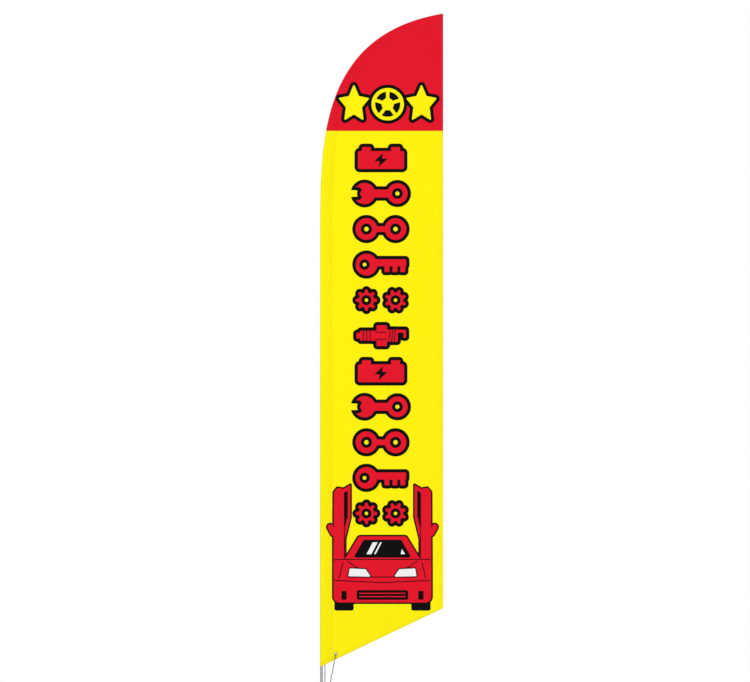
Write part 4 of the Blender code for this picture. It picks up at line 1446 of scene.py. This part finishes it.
    def thread_rings(self, flat: Array, stack: Array, back: bool) -> Array:
        """Rings of points round each stitch, whose ends dip into the cloth.

        Args:
            flat: Places (x, z) of each stitch's rings, as (stitch, ring, 2).
            stack: How much lies behind the cloth at each stitch.
            back: Whether the stitch lies on the back.

        Returns:
            Points, as (stitch, ring, side, xyz).
        """
        count, stops, sides = *flat.shape[:2], 5
        base = flat.reshape(-1, 2)
        centre = self.sewn(base, back)
        outward = 1.0 if back else -1.0
        _, inwards = self.line.measure(base)
        behind = back & (inwards >= self.shape.seam)
        arch = np.tile([-0.0004, 0.00022, 0.00034, 0.00022, -0.0004], count)
        centre[:, 1] += outward * arch + np.where(behind, np.repeat(stack, stops), 0.0)
        centre = centre.reshape(count, stops, 3)
        depth = np.array([0.0, 1.0, 0.0])
        across = unit(np.cross(unit(centre[:, -1] - centre[:, 0]), depth))
        swell = np.array([0.55, 1.0, 1.1, 1.0, 0.55]) * self.thread
        spokes = fan(around(sides), across, depth)
        return centre[:, :, None, :] + spokes[:, None, :, :] * swell[None, :, None, None]

    def thread_mesh(self, stitches: Array) -> Mesh:
        """Skins every stitch into one mesh, each with its own faces in a row."""
        count, stops, sides = stitches.shape[:3]
        one = []
        for i in range(stops - 1):
            for j in range(sides):
                k = (j + 1) % sides
                one.append([i * sides + j, i * sides + k, (i + 1) * sides + k, (i + 1) * sides + j])
        one.append(list(range(sides))[::-1])
        one.append([(stops - 1) * sides + j for j in range(sides)])
        starts = range(0, count * stops * sides, stops * sides)
        faces = [[first + i for i in face] for first in starts for face in one]
        return from_arrays(stitches.reshape(-1, 3), faces)

    def build_hems(self, finishes: Finishes) -> list[bpy.types.Object]:
        """Makes the folded strips behind the fly edge and behind the bottom edge."""
        line, inside = self.line, self.shape.seam + 0.004
        seam_top = self.runs(inside)[-1, 1]
        heights = np.arange(float(line.hem(line.fly)) + 0.001, seam_top, self.spacing)
        across = np.arange(inside, line.fly - 0.001, self.spacing)
        steps = (0.0010, 0.0060, *self.edge_rows, self.hem_width)
        strips = {
            "fly_hem": [plumb(line.fly - step, heights) for step in steps],
            "bottom_hem": [self.along_hem(across, step) for step in steps],
        }
        made, gap = [], self.thickness + 0.00015
        for name, columns in strips.items():
            grid = np.stack(columns, 1)
            near = self.sewn(grid.reshape(-1, 2)).reshape(*grid.shape[:2], 3)
            far = near[:, ::-1] + (0.0, gap + self.thickness, 0.0)
            mesh = sweep(np.concatenate([near + (0.0, gap, 0.0), far], axis=1))
            made.append(finishes.show(name, mesh, INKS, Body.TOP))
            middle = np.array([p.center for p in mesh.polygons])
            paint(mesh, self.dyes(middle[:, 0], middle[:, 2]))
        return made

    def patch_outline(self, margin: float = 0.0) -> list[Pair]:
        """Corners of the patch, or of a line that far inside its edge."""
        left = self.shape.seam + 0.003 + margin
        right = self.shape.seam + 0.003 + self.patch_size[0] - margin
        low, short, tall = 0.003 + margin, 0.030 - margin, self.patch_size[1] - margin

        def above(x: float, rise: float) -> Pair:
            return x, float(self.line.hem(x)) + rise

        return [
            above(left, low), above(right, low), above(right, short),
            above(left + 0.022 - margin / 2, tall), above(left, tall),
        ]

    def build_patch(self, finishes: Finishes) -> None:
        """Makes the webbing patch behind the low corner, cut round the grommet."""
        outline = self.patch_outline()
        points: list[Pair] = []
        for first, second in zip(outline, [*outline[1:], outline[0]]):
            shares = np.arange(0.0, 1.0, self.row_step / math.dist(first, second))[:, None]
            points.extend(map(tuple, np.array(first) + np.subtract(second, first) * shares))
        edges = [(i, (i + 1) % len(points)) for i in range(len(points))]
        self.ring_of(points, edges)
        low, high = np.min(outline, axis=0), np.max(outline, axis=0)
        xs, zs = np.meshgrid(*(np.arange(a, b, 0.005) for a, b in zip(low, high)))
        grid = np.stack([xs.ravel(), zs.ravel()], -1)
        inside = (polygon(*grid.T, outline) < -0.0025) & self.outside_hole(grid, 1.0, 0.0015)
        points.extend(map(tuple, grid[inside]))
        flat, faces = triangulated(points, edges)
        middle = flat[faces].mean(axis=1)
        keep = (polygon(*middle.T, outline) < 0) & self.outside_hole(middle)
        near = self.shape.place(flat) + (0.0, self.patch_depth, 0.0)
        shape = bmesh.new()
        shape.from_mesh(from_arrays(near, faces[keep][:, ::-1]))
        drop_loose(shape)
        bmesh.ops.recalc_face_normals(shape, faces=shape.faces)
        mesh = modified(baked(shape), ("SOLIDIFY", {"thickness": self.patch_thickness, "offset": 0.0}))
        finishes.show("patch_webbing", mesh, WEBBING, Body.TOP, "corner_patch")

    def build_grommet(self, finishes: Finishes) -> None:
        """Makes the eyelet, rolled over its washer behind the cloth."""
        centre = self.shape.place(np.array([self.hole]))[0]
        bore = self.grommet_bore
        front, behind = 0.0003, -0.0031
        turns = [math.pi * i / 6 for i in range(7)]
        crown = [(0.0072 - 0.0021 * math.cos(a), front + 0.0011 * math.sin(a)) for a in turns]
        roll = [(bore + 0.0009 + 0.0006 * math.cos(a), behind - 0.0006 * math.sin(a)) for a in turns]
        profile = [(bore, front), *crown, (bore + 0.0006, front - 0.0004), (bore + 0.0006, behind)]
        profile += [*roll[1:], (bore, behind + 0.0002)]
        washer = rounded(bore + 0.0009, 0.0095, behind + 0.0002, behind + 0.0009, 0.0003)
        place = Matrix.Translation(centre) @ Matrix.Rotation(math.pi / 2, 4, "X")
        finishes.show("eyelet", lathe(profile, 56), BRASS, Body.TOP, "grommet_eyelet", place=place)
        finishes.show("eyelet_washer", lathe(washer, 56), BRASS, Body.TOP, "grommet_washer", place=place)

    def build(self, finishes: Finishes) -> None:
        """Makes the whole flag."""
        cloth = self.build_cloth(finishes)
        hems = self.build_hems(finishes)
        self.build_stitches(finishes)
        self.build_patch(finishes)
        self.build_grommet(finishes)
        width, area = self.cut_size()

    def cut_size(self) -> Pair:
        """Widest width and whole area of the cloth before the sleeve is folded, without hem allowances."""
        line, seam = self.line, self.shape.seam
        tangent = math.acos(line.nose / seam)
        half_sleeve = math.sqrt(seam**2 - line.nose**2) + line.nose * (math.pi - tangent)
        across = np.linspace(seam, line.fly, 400)
        top = np.interp(across, self.seam_line[:, 0], self.seam_line[:, 1])
        panel = float(np.trapz(top - line.hem(across), across))
        return line.fly - seam + 2 * half_sleeve, panel + 2 * half_sleeve * (line.end - line.start)


# The pole


@dataclass
class Pole:
    """Four push-fit sections: two aluminium tubes, a fibreglass tube and a tapered fibreglass rod.

    Attributes:
        line: The pole's line.
        first: Outer and bore radius of the lowest tube.
        second: Outer and bore radius of the second tube.
        third: Outer and bore radius of the fibreglass tube.
        rod: Radius of the tapered rod at its foot and at its tip.
        ring_height: Height of the stop rings.
        ferrule_height: Height of the ferrule on the fibreglass tube's rim.
        room: Clearance of each fit on the straight part.
        bend_room: Clearance of each fit on the bend.
    """

    line: PoleLine
    first: Pair = (0.0140, 0.0126)
    second: Pair = (0.0123, 0.0111)
    third: Pair = (0.0108, 0.0082)
    rod: Pair = (0.0076, 0.0042)
    ring_height: float = 0.014
    ferrule_height: float = 0.040
    room: float = 0.0003
    bend_room: float = 0.0008

    def stand(self, s: float) -> Matrix:
        """The place whose Z runs along the pole's axis at s."""
        place, along = self.line.points(np.array([s]))
        side, up = Vector((0.0, 1.0, 0.0)), Vector((along[0, 0], 0.0, along[0, 1]))
        turn = Matrix((side.cross(up), side, up)).transposed()
        return Matrix.Translation((place[0, 0], 0.0, place[0, 1])) @ turn.to_4x4()

    def path(self, start: float, end: float) -> tuple[Array, Array]:
        """Lengths and points along the axis, closer together where it bends and at both ends."""
        straight = np.arange(start, min(end, self.line.straight), 0.12)
        bend = np.arange(max(start, self.line.straight), end, 0.018)
        near = np.array([0.0, 0.0006, 0.0012])
        s = np.unique(np.concatenate([start + near, end - near, straight, bend]))
        s = s[(s <= start + 0.0013) | (s >= end - 0.0013) | ((s > start + 0.008) & (s < end - 0.008))]
        place, _ = self.line.points(s)
        return s, np.stack([place[:, 0], np.zeros(len(s)), place[:, 1]], -1)

    def build_tubes(self, finishes: Finishes) -> None:
        """Makes the two straight tubes with their deburred rims."""
        tubes = (
            ("section_tube_1", self.first, 0, Body.BOTTOM),
            ("section_tube_2", self.second, 1, Body.SECOND),
        )
        for name, (outer, bore), i, body in tubes:
            bottom = self.line.foot + self.line.starts[i]
            profile = rounded(bore, outer, bottom, bottom + self.line.section, 0.0005)
            finishes.show(name, lathe(profile, 80), ALUMINIUM, body, f"pole_section_{i + 1}")

    def build_bend(self, finishes: Finishes) -> None:
        """Makes the fibreglass tube and the tapered rod along the bend."""
        start = self.line.starts[2]
        s, path = self.path(start, start + self.line.section)
        outer, bore = self.third
        rim = np.array([0.0007, 0.0002])
        radii = np.full(len(s), outer)
        radii[:2] -= rim
        radii[-2:] -= rim[::-1]
        inner = tube_rings(path, np.full(len(s), bore), 56)[::-1]
        tube = sweep(np.concatenate([tube_rings(path, radii, 56), inner]), loop=True)
        finishes.show("section_tube_3", tube, FIBREGLASS, Body.TOP, "pole_section_3")
        start = self.line.starts[3]
        s, path = self.path(start, self.line.length)
        radii = np.interp(s, [start, self.line.length], self.rod)
        radii[:2] -= rim
        radii[-2:] -= rim[::-1]
        tapered = sweep(tube_rings(path, radii, 48))
        finishes.show("tapered_rod", tapered, FIBREGLASS, Body.TOP, "pole_tip_rod")

    def build_rings(self, finishes: Finishes) -> None:
        """Makes the glued stop rings, the ferrule, the tip's rubber cap and the webbing cup over it."""
        starts, lap = self.line.starts, self.line.overlap
        stops = (
            (2, self.second[0], self.first[0], Body.SECOND, ALUMINIUM),
            (3, self.third[0], self.second[0], Body.TOP, ALUMINIUM),
            (4, self.rod[0], self.third[0] + 0.0012, Body.TOP, PLASTIC),
        )
        for i, bore, outer, body, finish in stops:
            s = starts[i - 1] + lap
            room = self.bend_room if s > self.line.straight else self.room
            profile = rounded(bore + room, outer, room, room + self.ring_height, 0.0009)
            groove = room + self.ring_height / 2
            profile[5:5] = [(outer, groove + 0.0008), (outer - 0.0004, groove), (outer, groove - 0.0008)]
            ring = lathe(profile, 72)
            finishes.show(f"glued_ring_{i}", ring, finish, body, f"stop_ring_{i}", place=self.stand(s))
        bore = self.third[0] + self.bend_room
        profile = rounded(bore, self.third[0] + 0.0018, -self.ferrule_height, 0.0, 0.0004)
        place = self.stand(starts[3] + lap)
        finishes.show("ferrule_sleeve", lathe(profile, 72), ALUMINIUM, Body.TOP, "rim_ferrule", place=place)
        self.build_tip(finishes)

    def build_tip(self, finishes: Finishes) -> None:
        """Makes the rubber cap on the rod's end and the webbing cup that it pushes into."""
        inside, wall, length = self.rod[1] + self.bend_room, 0.0012, 0.018
        outer = inside + wall
        rib = ((0.0, 0.0), (0.0004, -0.0006), (0.0004, -0.0012), (0.0, -0.0018))
        ribs = [(outer + out, -0.004 - 0.003 * i + up) for i in range(4) for out, up in rib]
        skirt = [*ribs, (outer, 0.0006 - length), (outer - 0.0005, -length), (inside, -length)]
        profile = [*dome(outer, wall, 0.0030), *skirt, (inside, self.room), (0.0, self.room)]
        place = self.stand(self.line.length)
        finishes.show("rubber_tip", lathe(profile, 48), RUBBER, Body.TOP, "tip_cap", place=place)
        inside, wall, length, base, rise = self.rod[1] + 0.0027, 0.0010, 0.050, 0.004, 0.008
        profile = [*dome(inside + wall, base, rise + wall), (inside + wall, -length), (inside, -length)]
        profile += dome(inside, base, rise)[::-1]
        finishes.show("webbing_cup", lathe(profile, 48), WEBBING, Body.TOP, "tip_pocket", place=place)

    def build(self, finishes: Finishes) -> None:
        """Makes the whole pole."""
        self.build_tubes(finishes)
        self.build_bend(finishes)
        self.build_rings(finishes)


# The ground spike and its rotator


@dataclass(frozen=True)
class TurnedPiece:
    """A piece turned about the pole's axis, from (radius, height) points."""

    node: str
    body: Body
    finish: Finish
    profile: Sequence[Pair]
    sides: int = 72

    def build(self, finishes: Finishes) -> None:
        """Makes the piece."""
        mesh = lathe(self.profile, self.sides)
        finishes.show(f"turned_{self.node}", mesh, self.finish, self.body, self.node)


@dataclass
class GroundSpike:
    """Dipped steel spike with fins and a foot plate, and the turned axle welded on its top.

    Attributes:
        depth: How deep the spike goes.
        radius: Radius of the spike.
        point: Length of its point.
        plate: Radius, lower face and upper face of the foot plate.
        fin_depth: Depth of the fins' lower end.
        axle: Radius and top of the axle.
        shoulder: Radius, lower face and upper face of the axle's shoulder.
        groove: Radius, lower face and upper face of the clip's groove.
        thrust: Radius and thickness of the washer under the rotator.
        keeper: Radius, lower face and upper face of the washer under the clip.
        fin_root: From the axis to a weld along a fin's root.
    """

    depth: float = 0.500
    radius: float = 0.008
    point: float = 0.060
    plate: Triple = (0.060, 0.001, 0.006)
    fin_depth: float = 0.150
    axle: Pair = (0.006, 0.258)
    shoulder: Triple = (0.013, 0.0193, 0.030)
    groove: Triple = (0.005, 0.2494, 0.2514)
    thrust: Pair = (0.013, 0.002)
    keeper: Triple = (0.0098, 0.2476, 0.2491)
    fin_root: float = 0.0108

    def turned_pieces(self) -> list[TurnedPiece]:
        """Lists the turned pieces from the point up."""
        r, gap = self.radius, 0.0003
        wide, low, high = self.plate
        neck = self.point - self.depth
        shaft = [(0.0, 0.019), (r - 0.0012, 0.019), (r - 0.0003, 0.0186), (r, 0.0176), (r, neck + 0.004)]
        shaft += [(r - 0.0002, neck), (r - 0.0008, neck - 0.004), (0.0022, 0.004 - self.depth)]
        shaft += [(0.0012, 0.0012 - self.depth), (0.0, -self.depth)]
        plate = [(r + gap, high), (wide - 0.014, high), (wide - 0.0125, high - 0.0009)]
        plate += [(wide - 0.010, high - 0.0009)]
        plate += [(wide - 0.0085, high), *rounded(r + gap, wide, low, high, 0.0016)[1:]]
        arm, top = self.axle
        neck_radius, groove_low, groove_high = self.groove
        step, below, above = self.shoulder
        axle = [(0.0, top), (arm - 0.0010, top), (arm - 0.0003, top - 0.0003), (arm, top - 0.0010)]
        axle += [(arm, groove_high), (neck_radius, groove_high), (neck_radius, groove_low)]
        axle += [(arm, groove_low), (arm, above + 0.0010)]
        axle += [(arm + 0.0003, above + 0.0003), (arm + 0.0008, above), (step - 0.0008, above)]
        axle += [(step, above - 0.0008), (step, below + 0.0008), (step - 0.0008, below), (0.0, below)]
        bore = arm + gap
        thrust = rounded(bore, self.thrust[0], above + gap, above + gap + self.thrust[1], 0.0005)
        keeper = rounded(bore, *self.keeper, 0.0004)
        return [
            TurnedPiece("spike_shaft", Body.SPIKE, ZINC, shaft),
            TurnedPiece("foot_plate", Body.SPIKE, ZINC, plate, 128),
            TurnedPiece("axle", Body.SPIKE, STEEL, axle),
            TurnedPiece("thrust_washer", Body.SPIKE, STEEL, thrust),
            TurnedPiece("retaining_washer", Body.SPIKE, STEEL, keeper),
        ]

    def weld(self, name: str, radius: float, height: float, bead: float, finishes: Finishes) -> None:
        """Makes a weld bead round the spike, with the ripples that its run leaves.

        Args:
            name: The piece's name.
            radius: Radius of the bead's middle line.
            height: Height of that line.
            bead: Radius of the bead's section.
            finishes: The materials.
        """
        turns = around(200)
        outward = np.stack([np.cos(turns), np.sin(turns), np.zeros(200)], -1)
        swell = bead * (1 + 0.10 * np.abs(np.sin(13.5 * turns)) + 0.05 * np.sin(3 * turns + 0.7))
        upward = np.array([0.0, 0.0, 1.0])
        middle = outward * radius + upward * height
        rings = middle[:, None] + fan(around(12), outward, upward) * swell[:, None, None]
        finishes.show(name, sweep(rings, loop=True), ZINC, Body.SPIKE)

    def build_fins(self, frame: dict, finishes: Finishes) -> None:
        """Makes the fins from the CAD solid, with dressed edges and a weld along each root."""
        fins = softened(frame["nodes"]["spike_fins"].data, 0.0006, 3)
        finishes.show("welded_fins", fins, ZINC, Body.SPIKE, "spike_fins")
        heights = np.arange(0.008 - self.fin_depth, -0.008, 0.0009)
        swell = 0.0012 + 0.00022 * np.abs(np.sin(heights * 1450))
        swell[[0, -1]] = 0.0002
        roots = []
        for angle in (quarter + side for quarter in around(4) for side in (-0.16, 0.16)):
            spot = (self.fin_root * math.cos(angle), self.fin_root * math.sin(angle))
            path = np.stack(np.broadcast_arrays(*spot, heights), -1)
            roots.append(sweep(tube_rings(path, swell, 8)))
        finishes.show("fin_welds", merged(roots), ZINC, Body.SPIKE)

    def build(self, frame: dict, finishes: Finishes) -> None:
        """Makes the whole spike."""
        for piece in self.turned_pieces():
            piece.build(finishes)
        self.build_fins(frame, finishes)
        clip = softened(frame["nodes"]["retaining_clip"].data, 0.0002, 2)
        finishes.show("spring_clip", clip, STEEL, Body.SPIKE, "retaining_clip")
        self.weld("plate_weld", self.radius + 0.0012, self.plate[2] + 0.0006, 0.0021, finishes)
        self.weld("axle_weld", self.radius + 0.0010, self.shoulder[1] - 0.0010, 0.0017, finishes)


@dataclass
class Rotator:
    """Sleeve that the pole stands on, turning on two bushes, with rubber rings that grip the tube.

    Attributes:
        bore: Radius of the sleeve's bore.
        outer: Outer radius of the sleeve.
        flange: Radius, lower face and upper face of the flange.
        top: Top of the sleeve.
        ring_heights: Heights of the rubber rings.
        groove: Depth of their grooves.
        cord: Radius of their cord.
        flutes: How many flutes the flange has.
    """

    bore: float = 0.0093
    outer: float = 0.0116
    flange: Triple = (0.019, 0.0349, 0.0399)
    top: float = 0.2450
    ring_heights: Pair = (0.075, 0.215)
    groove: float = 0.0009
    cord: float = 0.00062
    flutes: int = 30

    def sleeve_profile(self) -> list[Pair]:
        """Outline of the sleeve with its grooves and flange."""
        r, deep, half = self.outer, self.outer - self.groove, 0.0010
        wide, low, high = self.flange
        top = self.top
        profile = [(self.bore, top), (r - 0.0008, top), (r - 0.0002, top - 0.0003), (r, top - 0.001)]
        for height in reversed(self.ring_heights):
            profile += [(r, height + half + 0.0002), (r - 0.0002, height + half), (deep, height + half)]
            profile += [(deep, height - half), (r - 0.0002, height - half), (r, height - half - 0.0002)]
        profile += [(r, high + 0.0008), (r + 0.0003, high + 0.0002), (r + 0.0009, high)]
        return [*profile, *rounded(self.bore, wide, low, high, 0.0010)[1:]]

    def build_sleeve(self, finishes: Finishes) -> None:
        """Makes the moulded sleeve and cuts the flutes in its flange."""
        mesh, band = lathe(self.sleeve_profile(), 12 * self.flutes), 0.0022
        for vertex in mesh.vertices:
            reach = math.hypot(vertex.co.x, vertex.co.y)
            depth = max(0.0, reach - self.flange[0] + band) / band
            angle = math.atan2(vertex.co.y, vertex.co.x)
            cut_in = 0.0008 * depth * max(0.0, math.cos(self.flutes * angle)) ** 0.7
            vertex.co.x -= cut_in * math.cos(angle)
            vertex.co.y -= cut_in * math.sin(angle)
        finishes.show("rotator_moulding", mesh, PLASTIC, Body.ROTATOR, "rotator_sleeve")

    def turned_pieces(self) -> list[TurnedPiece]:
        """Lists the bushes, the rubber rings and the cap."""
        inner, bush = 0.0063, 0.0090
        low, rim = self.flange[1], self.top
        lower = [(inner, 0.062), (bush - 0.0004, 0.062), (bush, 0.0616), (bush, low - 0.0003)]
        lower += rounded(inner, 0.013, low - 0.0023, low - 0.0003, 0.0004)[1:]
        upper = rounded(inner, 0.0114, rim + 0.0003, rim + 0.0023, 0.0004)[:-1]
        upper += [(bush, rim + 0.0003), (bush, 0.2174), (bush - 0.0004, 0.217), (inner, 0.217)]
        wide, wall, crown, rise = 0.0114, 0.0011, 0.2598, 0.0062
        cap = [*dome(wide, crown, rise), (wide, rim + 0.0030), (wide - 0.0003, rim + 0.0026)]
        cap += [(wide - wall, rim + 0.0026), *dome(wide - wall, crown - 0.0004, rise - 0.0020)[::-1]]
        pieces = [
            TurnedPiece("lower_bush", Body.ROTATOR, NYLON, lower),
            TurnedPiece("upper_bush", Body.ROTATOR, NYLON, upper),
            TurnedPiece("rotator_cap", Body.ROTATOR, PLASTIC, cap),
        ]
        middle = self.outer - self.groove + 0.0003 + self.cord
        for name, height in zip(("lower_o_ring", "upper_o_ring"), self.ring_heights):
            angles = [math.radians(90 - 24 * i) for i in range(15)]
            loop = [(middle + self.cord * math.cos(a), height + self.cord * math.sin(a)) for a in angles]
            pieces.append(TurnedPiece(name, Body.ROTATOR, RUBBER, loop))
        return pieces

    def build(self, finishes: Finishes) -> None:
        """Makes the whole rotator."""
        self.build_sleeve(finishes)
        for piece in self.turned_pieces():
            piece.build(finishes)


# The tie-down


@dataclass
class TieDown:
    """Sliding collar with its peg and wing screw, and the elastic loop that pulls the flag down.

    Attributes:
        line: The pole's line.
        hole: Place (x, z) of the flag's grommet.
        drop: How far below the flag's low corner the collar sits.
        height: Height of the collar.
        bore: Radius of the collar's bore.
        outer: Radius of the collar.
        peg: Radius of the peg.
        peg_place: Distance of the elastic from the pole's axis on the peg.
        cord: Radius of the elastic.
        loop: Half the distance between the loop's two runs.
        lay: Length of one turn of the braid.
        travel: How far the collar slides up; not used.
    """

    line: PoleLine
    hole: Pair
    drop: float = 0.125
    height: float = 0.022
    bore: float = 0.0143
    outer: float = 0.020
    peg: float = 0.004
    peg_place: float = 0.031
    cord: float = 0.002
    loop: float = 0.0095
    lay: float = 0.0062
    travel: float = 0.060

    def __post_init__(self) -> None:
        """Works out the collar's level."""
        self.level = self.line.low - self.drop

    def build_collar(self, frame: dict, finishes: Finishes) -> None:
        """Makes the moulded collar: the CAD solid with grip ribs, all edges softened."""
        parts = [frame["nodes"]["hook_collar"].data]
        low, high = self.level - self.height / 2 + 0.003, self.level + self.height / 2 - 0.003
        for angle in map(math.radians, (d for d in range(130, 360, 12) if abs(d - 270) <= 100)):
            spot = Vector((math.cos(angle), math.sin(angle), 0.0)) * (self.outer - 0.0002)
            parts.append(rod(spot + Vector((0, 0, low)), spot + Vector((0, 0, high)), 0.0009, 16))
        mesh = moulded(parts, voxel=0.00042, smoothing=3)
        finishes.show("collar_moulding", mesh, PLASTIC, Body.COLLAR, "hook_collar")

    def build_screw(self, finishes: Finishes) -> None:
        """Makes the wing screw: a hub with two paddles, and its threaded shank."""
        centre = Vector((0.0, 0.0, self.level))
        out = Vector((0.0, 1.0, 0.0))
        head, shank = 0.0275, 0.003
        parts = [rod(centre + out * head, centre + out * (head + 0.0066), 0.0062)]
        for side in (-1, 1):
            shape = bmesh.new()
            reach = Matrix.Diagonal((0.0072, 0.0048, 0.0019, 1.0))
            place = Matrix.Translation(centre + out * (head + 0.0078) + Vector((side * 0.0066, 0.0, 0.0)))
            tilted = place @ Matrix.Rotation(side * math.radians(14), 4, "Z") @ reach
            bmesh.ops.create_uvsphere(shape, u_segments=40, v_segments=24, radius=1.0, matrix=tilted)
            parts.append(baked(shape))
        head_mesh = moulded(parts, voxel=0.00032, smoothing=6)
        finishes.show("wing_head", head_mesh, PLASTIC, Body.SCREW, "thumb_screw")
        profile = [(0.0, head + 0.001), (shank - 0.0004, head + 0.001)]
        crest, pitch, tip = head + 0.0006, 0.0008, self.bore
        for i in range(int((crest - tip - 0.0016) / pitch)):
            level = crest - i * pitch
            profile += [(shank - 0.00045, level), (shank, level - pitch / 2)]
        profile += [(shank - 0.0008, tip + 0.0004), (shank - 0.0012, tip), (0.0, tip)]
        place = Matrix.Translation(centre) @ Matrix.Rotation(-math.pi / 2, 4, "X")
        finishes.show("screw_thread", lathe(profile, 40), STEEL, Body.SCREW, place=place)

    def loop_path(self) -> Array:
        """Middle line of the elastic: through the grommet, down both sides and under the peg."""
        hole = np.array([self.hole[0], 0.0, self.hole[1] - self.cord])
        under_peg = np.array([self.peg_place, 0.0, self.level - self.peg - 0.0003 - self.cord])
        lean = unit(hole - under_peg)
        side = np.array([0.0, 1.0, 0.0])
        top, bottom = hole - lean * self.loop, under_peg + lean * self.loop
        turns = np.linspace(0, math.pi, 90)
        arcs = []
        for centre, start in ((top, 0.0), (bottom, math.pi)):
            angles = (start + turns)[:, None]
            arcs.append(centre + (side * np.cos(angles) + lean * np.sin(angles)) * self.loop)
        shares = np.linspace(0, 1, 420)[1:-1, None]
        down = arcs[0][-1] + (arcs[1][0] - arcs[0][-1]) * shares
        up = arcs[1][-1] + (arcs[0][0] - arcs[1][-1]) * shares
        return np.concatenate([arcs[0], down, arcs[1], up])

    def build_elastic(self, finishes: Finishes) -> None:
        """Makes the elastic with its braided cover."""
        path, sides = self.loop_path(), 24
        closed = np.concatenate([path[-1:], path, path[:1]])
        along = unit(closed[2:] - closed[:-2])
        length = lengths(closed[1:])[:-1]
        plane = unit(np.cross(along[10], along[60]))
        angles = around(sides)
        turns = 2 * math.pi * round(length[-1] / self.lay) / length[-1] * length[:, None]
        braid = np.sin(4 * angles + turns) * np.sin(4 * angles - turns)
        reach = self.cord * (0.955 + 0.045 * braid)
        spokes = fan(angles, plane, np.cross(along, plane))
        mesh = sweep(path[:, None, :] + spokes * reach[:, :, None], loop=True)
        elastic = finishes.show("braided_loop", mesh, BRAID, Body.TOP, "elastic_loop")
        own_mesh(elastic)

    def build(self, frame: dict, finishes: Finishes) -> None:
        """Makes the whole tie-down."""
        self.build_collar(frame, finishes)
        self.build_screw(finishes)
        self.build_elastic(finishes)


# The studio


@dataclass
class Studio:
    """Pale floor, soft lights and a far camera that looks straight at the flag's front.

    Attributes:
        line: The pole's line.
        distance: From the camera to the flag's plane.
        view_width: Width of the view at the flag's plane.
        view_centre: Middle of the view, across from the leading edge and up from the low corner.
        floor_radius: Radius of the floor.
        floor_level: Height of the floor.
    """

    line: PoleLine
    distance: float = 25.0
    view_width: float = 4.0195
    view_centre: Pair = (0.295, 1.747)
    floor_radius: float = 7.0
    floor_level: float = -0.502

    def build_camera(self) -> None:
        """Makes the camera."""
        data = bpy.data.cameras.new("camera")
        data.sensor_width = 36.0
        data.lens = data.sensor_width * self.distance / self.view_width
        data.clip_end = 200.0
        camera = bpy.data.objects.new("camera", data)
        bpy.context.scene.collection.objects.link(camera)
        across, up = self.view_centre
        camera.location = (across - self.line.nose, -self.distance, self.line.low + up)
        camera.rotation_euler = (math.pi / 2, 0.0, 0.0)
        bpy.context.scene.camera = camera

    def build_lights(self) -> None:
        """Makes two large soft lights and a pale surround."""
        lights = (
            ("key", (-4.5, -7.0, 5.6), 5.0, 424.0),
            ("fill", (6.5, -6.0, 1.6), 5.0, 212.0),
            ("back", (2.0, 7.5, 5.5), 5.0, 260.0),
        )
        target = Vector((0.3, 0.0, 2.2))
        for name, place, size, power in lights:
            data = bpy.data.lights.new(name, "AREA")
            data.shape = "DISK"
            data.size = size
            data.energy = power
            light = bpy.data.objects.new(name, data)
            light.location = place
            light.rotation_euler = (target - Vector(place)).to_track_quat("-Z", "Y").to_euler()
            bpy.context.scene.collection.objects.link(light)
        world = bpy.data.worlds.new("surround")
        world.use_nodes = True
        bpy.context.scene.world = world
        graph = Graph(world.node_tree)
        seen = graph.add("LightPath").outputs["Is Camera Ray"]
        lit = world.node_tree.nodes["Background"]
        graph.put(graph.span(seen, 0.0, 1.0, 0.44, 1.0), lit.inputs["Strength"])
        lit.inputs["Color"].default_value = (1.0, 1.0, 1.0, 1.0)

    def build_floor(self) -> None:
        """Makes the floor."""
        mesh = lathe(rounded(0.0, self.floor_radius, self.floor_level - 0.02, self.floor_level, 0.01), 128)
        floor = link("floor", mesh)
        made = bpy.data.materials.new("pale_floor")
        made.use_nodes = True
        graph, shader = Graph(made.node_tree), made.node_tree.nodes["Principled BSDF"]
        tone = graph.mix(graph.noise(graph.place(), 1.5), (0.76, 0.76, 0.75, 1.0), (0.80, 0.80, 0.79, 1.0))
        graph.put(tone, shader.inputs["Base Color"])
        shader.inputs["Roughness"].default_value = 0.85
        mesh.materials.append(made)

    def build(self) -> None:
        """Makes the camera, the lights and the floor."""
        bpy.context.scene.view_settings.view_transform = "Standard"
        self.build_camera()
        self.build_lights()
        self.build_floor()


def main() -> None:
    logging.basicConfig(level=logging.INFO, format="%(message)s")
    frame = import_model()
    line = PoleLine()
    Studio(line).build()
    finishes = Finishes()
    flag = Flag(line)
    flag.build(finishes)
    Pole(line).build(finishes)
    GroundSpike().build(frame, finishes)
    Rotator().build(finishes)
    TieDown(line, flag.hole).build(frame, finishes)


if __name__ == "__main__":
    main()
